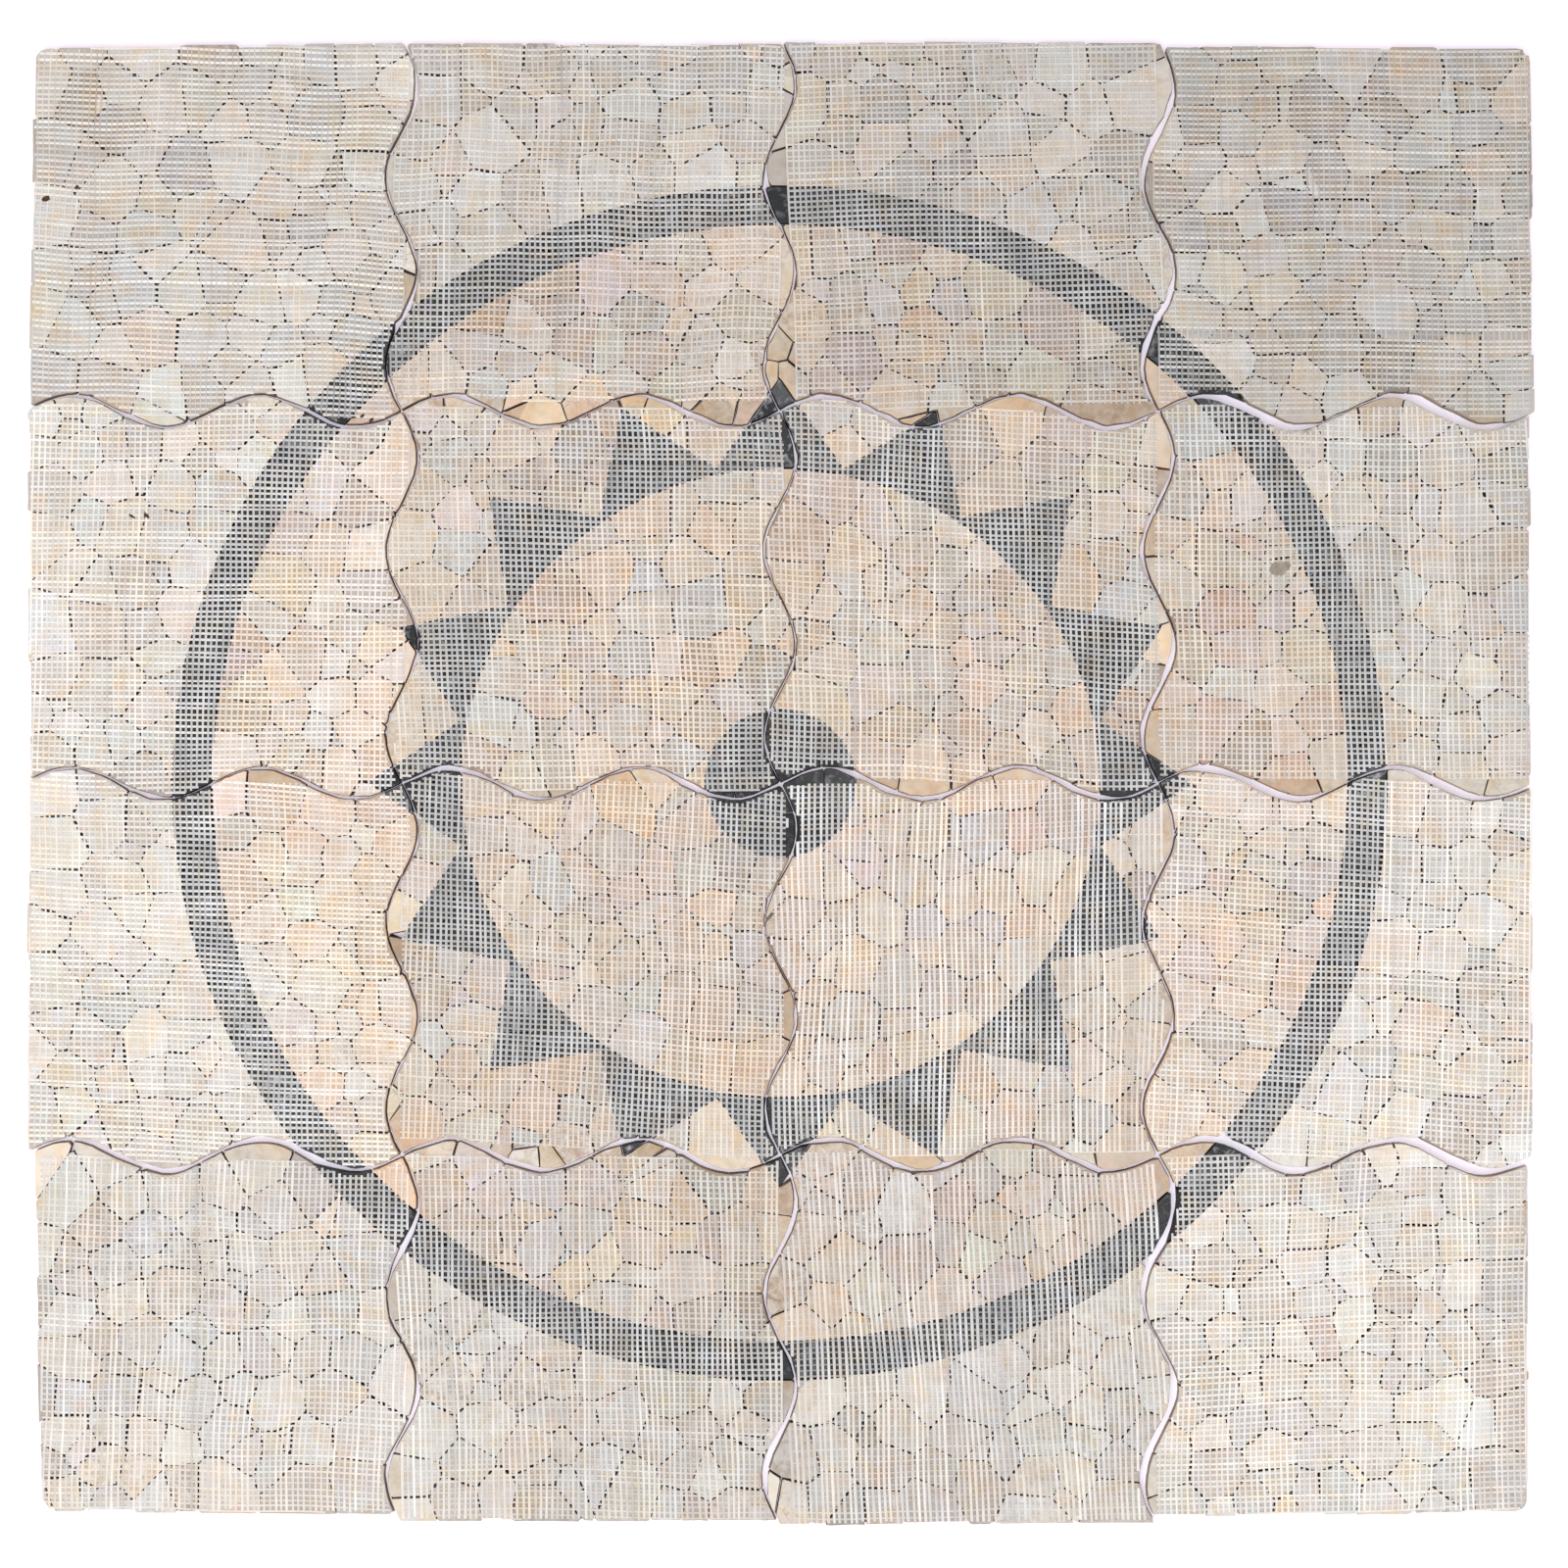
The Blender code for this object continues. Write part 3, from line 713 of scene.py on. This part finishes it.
class Builder:
    """Collects points and faces with what their materials read, and makes one mesh of them."""

    def __init__(self):
        self.points, self.faces, self.slots, self.values = [], [], [], {}
        self.count = 0

    def add(self, points, faces, slots, **values):
        self.points.append(points)
        self.faces += [[index + self.count for index in face] for face in faces]
        self.slots += slots
        self.count += len(points)
        for name, value in values.items():
            value = np.atleast_2d(np.asarray(value, dtype=float))
            rows = value if len(value) == len(points) else np.repeat(value, len(points), axis=0)
            self.values.setdefault(name, []).append(rows)

    def make(self, name, materials, lay, offset):
        """Makes the mesh, with its points moved from the true pattern to where the sheet lies."""
        middle, shift, turn = lay
        points = np.vstack(self.points)
        points[:, :2] = turned(points[:, :2] - middle, turn) + middle + shift + offset
        mesh = bpy.data.meshes.new(name)
        mesh.from_pydata(points.tolist(), [], self.faces)
        mesh.polygons.foreach_set("material_index", self.slots)
        for key, rows in self.values.items():
            rows = np.vstack(rows).astype(np.float32)
            kind, field = {1: ("FLOAT", "value"), 3: ("FLOAT_VECTOR", "vector")}[rows.shape[1]]
            mesh.attributes.new(key, kind, "POINT").data.foreach_set(field, rows.ravel())
        for material in materials:
            mesh.materials.append(material)
        return put_in_scene(name, mesh)


def stone_rings(top, count, draw):
    """A stone's rings of points: the height of each, how near its back it is, and its insets."""
    rough = [SIDE_ROUGHNESS * draw.random() for _ in range(count)]
    return (
        (0.0, 0.0, [FACE_ARRIS] * count),
        (FACE_ARRIS_HIGH, 0.0, [0.0] * count),
        (top / 2, HALF_WAY_SHARE, rough),
        (top - SHOULDER_DROP, SHOULDER_SHARE, [0.0] * count),
        (top, 1.0, [LEAST_BACK_ARRIS + MORE_BACK_ARRIS * draw.random() for _ in range(count)]),
    )


def ring_faces(sides, rings):
    """The faces of a closed body that is made of rings of points, from the lowest to the highest."""
    faces = [list(range(sides))[::-1]]
    for low in range(0, (rings - 1) * sides, sides):
        for index in range(sides):
            after = (index + 1) % sides
            faces.append([low + index, low + after, low + sides + after, low + sides + index])
    faces.append([(rings - 1) * sides + index for index in range(sides)])
    return faces


def add_stone(builder, seed, outline, top, inner, reads, draw):
    """One stone: the polished face down, broken sides and the sawn back up.

    Its materials read how much painted shade each of its sides takes, and values that are the same all over
    it."""
    count = len(outline)
    rings = stone_rings(top, count, draw)
    points = []
    for height, share, insets in rings:
        ring = outline[:, :2] * share + outline[:, 2:] * (1 - share)
        out = np.maximum(np.hypot(ring[:, 0], ring[:, 1]), LEAST_RADIUS)
        ring = ring * (1 - np.minimum(np.array(insets) / out, 0.5))[:, None]
        points.append(np.column_stack([seed + ring, np.full(count, height)]))
    faces = ring_faces(count, len(rings))
    slots = [1] + [0] * (len(faces) - 1)
    builder.add(np.vstack(points), faces, slots, inner=np.tile(inner, len(rings))[:, None], **reads)


class Sheet:
    """One sheet: its regions with their stones, and each stone's tone, its threads' tone and its shift."""

    def __init__(self, row, column):
        self.place = row, column
        self.draw = random.Random(STONE_SEED + row * SHEETS_A_SIDE + column)
        left, right, bottom, top = sheet_corners(row, column)
        across = np.arange(left - WAVE_HEIGHT, right + WAVE_HEIGHT, SEED_GRID)
        along = np.arange(bottom - WAVE_HEIGHT, top + WAVE_HEIGHT, SEED_GRID)
        x, y = (axis.ravel() for axis in np.meshgrid(across, along))
        inside = sheet_depth(row, column, x, y) > SEED_GRID / 2
        x, y = x[inside], y[inside]
        found = region_at(x, y)
        self.regions, self.first, self.looks = {}, {}, []
        for number in sorted(set(found.tolist())):
            mine = found == number
            if mine.sum() * SEED_GRID**2 < LEAST_STONE_AREA:
                continue
            region = Region((row, column), number, x[mine], y[mine], self.draw)
            region.relax()
            for _ in range(FILL_ROUNDS):
                region.fill_gaps()
            self.regions[number] = region
            self.first[number] = len(self.looks)
            for _ in region.seeds:
                tones = stone_tones(number, SHEET_TONES[row][column], self.draw)
                self.looks.append([*tones, [self.draw.uniform(-1, 1) for _ in range(3)]])

    def stones_at(self, x, y):
        """The looks and the number of the stone under each point, and whether it is dark."""
        found = region_at(x, y)
        net_tone = linear(NET_TONES[OUTER])
        looks = np.tile([net_tone, net_tone, np.zeros(3)], (len(x), 1, 1))
        stones = np.full(len(x), -1)
        dark = np.zeros(len(x), bool)
        for number, region in self.regions.items():
            mine = found == number
            if mine.any():
                stones[mine] = region.owner(x[mine], y[mine]) + self.first[number]
                looks[mine] = np.array(self.looks)[stones[mine]]
                dark[mine] = is_dark(number)
        return looks, stones, dark


def make_stones(sheet, materials, film_field, lay, offset):
    """The pale and the dark stones of one sheet as two pieces."""
    row, column = sheet.place
    builders = {"pale": Builder(), "dark": Builder()}
    for number, region in sheet.regions.items():
        kind = "dark" if is_dark(number) else "pale"
        for index, outline in enumerate(region.outlines()):
            if len(outline) < 3 or np.hypot(outline[:, 0], outline[:, 1]).max() < LEAST_STONE_REACH:
                continue
            seed = region.seeds[index]
            tint, _, shift = sheet.looks[sheet.first[number] + index]
            edge = seed + outline[:, 2:]
            # How much painted shade each side takes: full in the joints between stones, less at the seams
            # between sheets, none at the outer edges
            inner = np.where(seam_depth(row, column, *edge.T, True) > SEAM_SIDE, 1.0, SEAM_SHADE_SHARE)
            inner = np.where(outer_depth(row, column, *edge.T) > OUTER_SIDE, inner, 0.0)
            top = (DARK_TOP if kind == "dark" else PALE_TOP) - TOP_SPREAD * sheet.draw.random()
            film = SHEET_FILMS[row][column] * (1 + FILM_SWING * float(film_field(*seed)))
            film = float(np.clip(film * sheet.draw.uniform(*FILM_SPREAD), 0, 1))
            vein = sheet.draw.random()**2
            # Painted light: stones out from under the net are painted brighter, as the net's shade doesn't
            # fall on them
            bare = 1 - under_net(sheet, *edge.T).mean()
            tint = tint * (1 + bare * np.array(BARE_PAINTED_LIGHT[kind]))
            reads = {"tint": tint, "shift": shift, "film": [film], "vein": [vein]}
            add_stone(builders[kind], seed, outline, top, inner, reads, sheet.draw)
    made = {}
    for kind, builder in builders.items():
        if builder.count:
            name = f"stones_{kind}_{name_end(row, column)}"
            made[kind] = builder.make(name, [materials[kind], materials[f"{kind} polished"]], lay, offset)
    return made


def net_window(sheet):
    """The rectangle that the net of a sheet is cut to, along its own threads."""
    row, column = sheet.place
    left, right, bottom, top = sheet_corners(row, column)
    to_left, to_right, below, above = (reach / 1000 for reach in NET_REACHES[row][column])
    return left - to_left, right + to_right, bottom - below, top + above


def net_slopes(place):
    return [math.tan(math.radians(tilt)) for tilt in NET_LAY[place[0]][place[1]][:2]]


def under_net(sheet, x, y):
    left, right, bottom, top = net_window(sheet)
    slope_x, slope_y = net_slopes(sheet.place)
    middle = LAYS[sheet.place][0]
    level_x, level_y = x - slope_x * (y - middle[1]), y - slope_y * (x - middle[0])
    return (level_x > left) & (level_x < right) & (level_y > bottom) & (level_y < top)


def runs_of(mask):
    """The first and last index of each run of true values."""
    edges = np.flatnonzero(np.diff(np.concatenate([[0], mask.astype(int), [0]])))
    return list(zip(edges[::2], edges[1::2] - 1))


def kept_places(stones, start, end):
    """The samples of a thread that become its points: ends, changes of stone, and some between."""
    kept = [start]
    for index in range(start + 1, end + 1):
        changed = stones[index] != stones[index - 1]
        if changed and kept[-1] != index - 1:
            kept.append(index - 1)
        if changed or index == end or (index - kept[-1]) * THREAD_STEP >= LONGEST_SEGMENT:
            kept.append(index)
    return kept


def add_thread(builder, centre, tangents, half_width, low, slot, tints, shifts):
    """One thread with a three-sided section, closed at both ends. Its rings run the other way round."""
    count = len(centre)
    side = np.column_stack([-tangents[:, 1], tangents[:, 0]]) * half_width[:, None]
    level = np.full(count, low)
    left = np.column_stack([centre + side, level])
    right = np.column_stack([centre - side, level])
    crest = np.column_stack([centre, level + THREAD_HEIGHT])
    points = np.stack([left, right, crest], axis=1).reshape(-1, 3)
    faces = [face[:1] + face[:0:-1] for face in ring_faces(3, count)]
    builder.add(points, faces, [slot] * len(faces), tint=np.repeat(tints, 3, axis=0),
                shift=np.repeat(shifts, 3, axis=0))


def thread_tints(tints, net_tints, dark, fade, weight):
    """The tones of a thread: those of the net, with something of the stones under it."""
    share = np.where(dark, THREAD_SHARE_DARK + THREAD_FADE * fade, THREAD_SHARE_PALE)
    share = np.clip(share * weight, LEAST_THREAD_SHARE, 1)[:, None]
    return tints * (1 - share) + net_tints * share


def make_net(sheet, materials, lay, offset):
    """The net of one sheet, thread by thread."""
    row, column = sheet.place
    draw = random.Random(NET_SEED + row * SHEETS_A_SIDE + column)
    bias = NET_LAY[row][column][2]
    left, right, bottom, top = net_window(sheet)
    builder = Builder()
    stray_x = smooth_field(draw, *STRAY_WAVES)
    stray_y = smooth_field(draw, *STRAY_WAVES)
    fade = smooth_field(draw, *FADE_WAVES)
    middle = lay[0]
    slopes = net_slopes(sheet.place)
    for upright in (True, False):
        slope, cut = slopes if upright else slopes[::-1]
        lead = bias if upright else -bias
        wide = THREAD_WIDTH + WIDTH_BIAS * lead
        span = (bottom, top) if upright else (left, right)
        across = (left, right) if upright else (bottom, top)
        slack = abs(cut) * (across[1] - across[0]) / 2
        along = np.arange(span[0] - slack, span[1] + slack, THREAD_STEP)
        for index in range(math.floor(across[0] / NET_PITCH), math.ceil(across[1] / NET_PITCH) + 1):
            at = index * NET_PITCH + draw.gauss(0, THREAD_STRAY)
            if upright:
                y = along
                x = at + slope * (y - middle[1])
                x = x + NET_STRAY * stray_x(x, y)
            else:
                x = along
                y = at + slope * (x - middle[0])
                y = y + NET_STRAY * stray_y(x, y)
            inside = under_net(sheet, x, y)
            inside &= sheet_depth(row, column, x, y) > NET_EDGE + NET_EDGE_SPREAD * draw.random()
            if not inside.any():
                continue
            looks, stones, dark = sheet.stones_at(x, y)
            tints, net_tints, shifts = looks.transpose(1, 0, 2)
            net_tints = net_tints * SHEET_TONES[row][column] * draw.gauss(1, THREAD_TONE_SPREAD)
            tints = thread_tints(tints, net_tints, dark, fade(x, y), 1 + LEAD_SHARE * lead)
            tangents = np.gradient(np.column_stack([x, y]), axis=0)
            tangents = tangents / np.hypot(*tangents.T)[:, None]
            for start, end in runs_of(inside):
                if (end - start) * THREAD_STEP < SHORTEST_RUN:
                    continue
                kept = kept_places(stones, start, end)
                half = np.array([wide / 2 * draw.uniform(*WIDTH_SPREAD) for _ in kept])
                low, slot = (UPRIGHT_LOW, 0) if upright else (LYING_LOW, 1)
                centre = np.column_stack([x[kept], y[kept]])
                add_thread(builder, centre, tangents[kept], half, low, slot, tints[kept], shifts[kept])
    name = f"net_{name_end(row, column)}"
    return builder.make(name, [materials["upright thread"], materials["lying thread"]], lay, offset)


class Graph:
    """Builds the nodes of one material. A value is a number, a colour or another node's output."""

    def __init__(self, name):
        self.material = bpy.data.materials.new(name)
        self.material.use_nodes = True
        self.tree = self.material.node_tree
        self.shader = self.tree.nodes["Principled BSDF"]

    def add(self, kind, inputs=None, **settings):
        node = self.tree.nodes.new(kind)
        for key, value in settings.items():
            setattr(node, key, value)
        for key, value in (inputs or {}).items():
            self.feed(node.inputs[key], value)
        return node

    def feed(self, socket, value):
        if isinstance(value, bpy.types.NodeSocket):
            self.tree.links.new(value, socket)
        else:
            socket.default_value = value

    def shade(self, **inputs):
        for key, value in inputs.items():
            self.feed(self.shader.inputs[key.replace("_", " ")], value)

    def attribute(self, name, output):
        return self.add("ShaderNodeAttribute", attribute_name=name).outputs[output]

    def math(self, operation, first, second=0.0, clamp=False):
        node = self.add("ShaderNodeMath", {0: first, 1: second}, operation=operation, use_clamp=clamp)
        return node.outputs[0]

    def noise(self, place, scale, detail, roughness=0.55, distortion=0.0):
        inputs = {"Vector": place, "Scale": scale, "Detail": detail, "Roughness": roughness,
                  "Distortion": distortion}
        return self.add("ShaderNodeTexNoise", inputs).outputs["Fac"]

    def remap(self, value, low, high, to_low=0.0, to_high=1.0):
        inputs = {"Value": value, "From Min": low, "From Max": high, "To Min": to_low, "To Max": to_high}
        return self.add("ShaderNodeMapRange", inputs).outputs["Result"]

    def vector(self, operation, first, second):
        node = self.add("ShaderNodeVectorMath", {0: first, 1: second}, operation=operation)
        return node.outputs["Vector"]

    def scaled(self, colour, factor):
        node = self.add("ShaderNodeVectorMath", {0: colour, "Scale": factor}, operation="SCALE")
        return node.outputs["Vector"]

    def mixed(self, factor, first, second):
        node = self.add("ShaderNodeMix", {"Factor": factor, 6: first, 7: second}, data_type="RGBA")
        return node.outputs[2]

    def bump(self, height, strength, distance):
        node = self.add("ShaderNodeBump", {"Height": height, "Strength": strength, "Distance": distance})
        return node.outputs["Normal"]

    def place(self, moved=True):
        """The place on the object, moved by each stone's own shift so that no two stones look alike."""
        place = self.add("ShaderNodeTexCoord").outputs["Object"]
        if not moved:
            return place
        return self.vector("ADD", place, self.attribute("shift", "Vector"))


def paint(tone):
    """A tone as the colour that a node takes."""
    return (*linear(tone).tolist(), 1.0)


def blushed(graph, place, colour, warmth):
    """The orange, the rosy and the grey patches in the pale marble."""
    for scale, low, high, share, tone in BLUSHES:
        blush = graph.remap(graph.noise(place, scale, 4, 0.6, 0.6), low, high, 0.0, warmth * share)
        colour = graph.mixed(blush, colour, graph.vector("MULTIPLY", colour, tone))
    return colour


def veined(graph, place, vein_tone, cloud_depth, warmth):
    """The colour of marble with clouds, grain, patches and veins, and its clouds and its grain."""
    clouds = graph.noise(place, CLOUD_SCALE, 5, 0.62, 0.4)
    grain = graph.noise(place, GRAIN_SCALE, 2)
    cloud_light = graph.remap(clouds, *WHOLE_NOISE, 1 - cloud_depth, 1 + cloud_depth)
    light = graph.math("MULTIPLY", cloud_light, graph.remap(grain, *WHOLE_NOISE, 0.95, 1.05))
    colour = graph.scaled(graph.attribute("tint", "Vector"), light)
    if warmth:
        colour = blushed(graph, place, colour, warmth)
    wander = graph.noise(place, VEIN_SCALE, 3, 0.5, 1.6)
    line = graph.math("ABSOLUTE", graph.math("SUBTRACT", wander, 0.5))
    vein = graph.remap(line, 0.0, VEIN_WIDTH, 1.0, 0.0)
    vein = graph.math("MULTIPLY", vein, graph.attribute("vein", "Fac"))
    return graph.mixed(vein, colour, paint(vein_tone)), clouds, grain


def polished_marble(name, vein_tone, cloud_depth, warmth):
    """Marble on its polished face."""
    graph = Graph(name)
    colour, clouds, _ = veined(graph, graph.place(), vein_tone, cloud_depth, warmth)
    graph.shade(Base_Color=colour, Roughness=0.16, Normal=graph.bump(clouds, 0.05, 0.0002))
    return graph.material


def sawn_marble(name, vein_tone, cloud_depth, warmth, film_tone, film_start, side_tone):
    """Marble on its sawn back, with glue film, and on its broken sides, with painted shade low in the
    joints.
    """
    graph = Graph(name)
    place, still = graph.place(), graph.place(False)
    colour, _, grain = veined(graph, place, vein_tone, cloud_depth, warmth)
    normal = graph.add("ShaderNodeNewGeometry").outputs["Normal"]
    normal = graph.add("ShaderNodeSeparateXYZ", {0: normal}).outputs["Z"]
    facing_up = graph.remap(normal, 0.5, 0.9)
    smear = graph.remap(graph.noise(still, FILM_SCALE, 4, 0.6, 0.8), film_start, FILM_FULL)
    film = graph.math("MULTIPLY", graph.attribute("film", "Fac"), smear)
    film = graph.math("MULTIPLY", film, facing_up, clamp=True)
    colour = graph.mixed(film, colour, paint(film_tone))
    side = graph.math("SUBTRACT", 1.0, facing_up, clamp=True)
    colour = graph.mixed(graph.math("MULTIPLY", side, SIDE_SHARE), colour, paint(side_tone))
    # Painted shade in the joints: the sides are painted darker the lower they are, fully between stones,
    # less at the seams, not at the outer edges
    height = graph.add("ShaderNodeSeparateXYZ", {0: still}).outputs["Z"]
    dirt_and_shade = graph.remap(height, JOINT_SHADE_BASE, PALE_TOP, *JOINT_SHADE_SHARES)
    dirt_and_shade = graph.math("MULTIPLY", dirt_and_shade, graph.attribute("inner", "Fac"))
    colour = graph.mixed(graph.math("MULTIPLY", side, dirt_and_shade), colour, paint(JOINT_SHADE_TONE))
    coarse = graph.math("MULTIPLY", graph.noise(place, RELIEF_SCALE, 3), 2.0)
    relief = graph.bump(graph.math("ADD", grain, coarse), 0.6, 0.00025)
    graph.shade(Base_Color=colour, Roughness=graph.remap(film, 0.0, 1.0, 0.72, 0.45), Normal=relief)
    return graph.material


def thread_material(name, *stretch):
    """Glass fibre thread: off-white, with streaks along it."""
    graph = Graph(name)
    still = graph.place(False)
    streaks = graph.noise(graph.vector("MULTIPLY", still, stretch), 1, 2)
    streak_light = graph.remap(streaks, *WHOLE_NOISE, 0.90, 1.08)
    dirt_light = graph.remap(graph.noise(still, THREAD_DIRT_SCALE, 3), *MIDDLE_NOISE, 0.95, 1.04)
    light = graph.math("MULTIPLY", streak_light, dirt_light)
    colour = graph.scaled(graph.attribute("tint", "Vector"), light)
    colour = blushed(graph, graph.place(), colour, THREAD_BLUSH)
    graph.shade(Base_Color=colour, Roughness=0.62, Normal=graph.bump(streaks, 0.5, 0.0002))
    return graph.material


def speck_material(name, tones, scale):
    """Dirt or dried glue, lighter and darker in patches."""
    graph = Graph(name)
    patches = graph.remap(graph.noise(graph.place(False), scale, 3), *MIDDLE_NOISE)
    colour = graph.mixed(patches, *(paint(tone) for tone in tones))
    graph.shade(Base_Color=colour, Roughness=0.85)
    return graph.material


def make_materials():
    return {
        "pale": sawn_marble(
            "pale marble", vein_tone=(186, 166, 150), cloud_depth=0.13, warmth=0.88,
            film_tone=(233, 226, 218), film_start=0.38, side_tone=(206, 170, 136)),
        "dark": sawn_marble(
            "dark marble", vein_tone=(104, 102, 102), cloud_depth=0.25, warmth=0.0,
            film_tone=(186, 188, 190), film_start=0.50, side_tone=(66, 62, 60)),
        "pale polished": polished_marble(
            "pale marble polished", vein_tone=(178, 154, 134), cloud_depth=0.12, warmth=0.9),
        "dark polished": polished_marble(
            "dark marble polished", vein_tone=(160, 158, 158), cloud_depth=0.2, warmth=0.0),
        "upright thread": thread_material("upright thread", STREAKS_ACROSS, STREAKS_ALONG, STREAKS_DEEP),
        "lying thread": thread_material("lying thread", STREAKS_ALONG, STREAKS_ACROSS, STREAKS_DEEP),
        "dirt_and_shade": speck_material("brown dirt", SPECK_TONES, scale=400),
        "glue": speck_material("dried glue", SMEAR_TONES, scale=160),
    }


def make_specks(materials, offset):
    """The few brown flakes of dirt and the smear of glue that lie on the net."""
    draw = random.Random(SPECK_SEED)
    builder = Builder()
    for x, y, length, width, turn in (*SPECKS, SMEAR):
        flat = ways_round(SPECK_SIDES) * (length / 2, width / 2)
        flat = flat * np.array([[draw.uniform(*SPECK_SPREAD)] for _ in flat])
        flat = turned(flat, math.radians(turn))
        rings = [np.column_stack([np.array([x, y]) + flat * share, np.full(SPECK_SIDES, SPECK_LOW + rise)])
                 for share, rise in SPECK_RINGS]
        faces = ring_faces(SPECK_SIDES, len(rings))
        builder.add(np.vstack(rings), faces, [int(length == SMEAR[2])] * len(faces))
    lay = np.zeros(2), np.zeros(2), 0.0
    specks = builder.make("dirt_specks", [materials["dirt_and_shade"], materials["glue"]], lay, offset)
    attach(specks, "root")


def floor_material():
    graph = Graph("pale floor")
    patches = graph.noise(graph.place(False), 30, 3)
    graph.shade(Base_Color=graph.mixed(patches, *FLOOR_TINTS), Roughness=0.8)
    # Painted light: the floor glows, so the gaps between the sheets look lit and the panel casts no shadow
    # on it
    graph.shade(Emission_Color=FLOOR_GLOW, Emission_Strength=FLOOR_GLOW_STRENGTH)
    return graph.material


def make_floor():
    mesh = bpy.data.meshes.new("floor")
    corners = [(x * FLOOR_HALF, y * FLOOR_HALF, 0) for x, y in ((-1, -1), (1, -1), (1, 1), (-1, 1))]
    mesh.from_pydata(corners, [], [[0, 1, 2, 3]])
    mesh.materials.append(floor_material())
    floor = put_in_scene("floor", mesh)
    floor.location.z = -FLOOR_DROP


def make_camera():
    camera = bpy.data.cameras.new("camera")
    camera.sensor_width = SENSOR_WIDTH
    camera.sensor_fit = "HORIZONTAL"
    camera.lens = SENSOR_WIDTH * (CAMERA_HEIGHT - PALE_TOP) / VIEW_WIDTH
    thing = put_in_scene("camera", camera)
    thing.location = (VIEW_MIDDLE_X, VIEW_MIDDLE_Y, CAMERA_HEIGHT)
    bpy.context.scene.camera = thing


def make_light():
    """Soft studio light from above, a little stronger from the near side."""
    lamp = bpy.data.lights.new("soft box", "AREA")
    lamp.shape = "SQUARE"
    lamp.size = LAMP_SIZE
    lamp.energy = LAMP_POWER
    thing = put_in_scene("soft box", lamp)
    thing.location = LAMP_PLACE
    thing.rotation_euler = [math.radians(angle) for angle in LAMP_TILT]
    world = bpy.data.worlds.new("room")
    world.use_nodes = True
    background = world.node_tree.nodes["Background"]
    background.inputs["Color"].default_value = (1.0, 1.0, 1.0, 1)
    background.inputs["Strength"].default_value = ROOM_LIGHT
    bpy.context.scene.world = world
    bpy.context.scene.view_settings.view_transform = "Standard"


def dress(sheet, nodes, materials, film_field, lay, offset):
    """The pieces of one sheet, and what they stand for."""
    mine = [node for node in nodes if name_end(*sheet.place) in node]
    stones = make_stones(sheet, materials, film_field, lay, offset)
    for kind, piece in stones.items():
        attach(piece, "root")
        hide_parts(*[node for node in mine if node.startswith("sheet") == (kind == "pale")])
    net = make_net(sheet, materials, lay, offset)
    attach(net, "root")


def main():
    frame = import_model()
    materials = make_materials()
    make_camera()
    make_light()
    make_floor()
    offset = panel_offset(frame["nodes"])
    film_field = smooth_field(random.Random(FILM_SEED), *FILM_WAVES)
    make_specks(materials, offset)
    for place, lay in LAYS.items():
        dress(Sheet(*place), frame["nodes"], materials, film_field, lay, offset)


main()
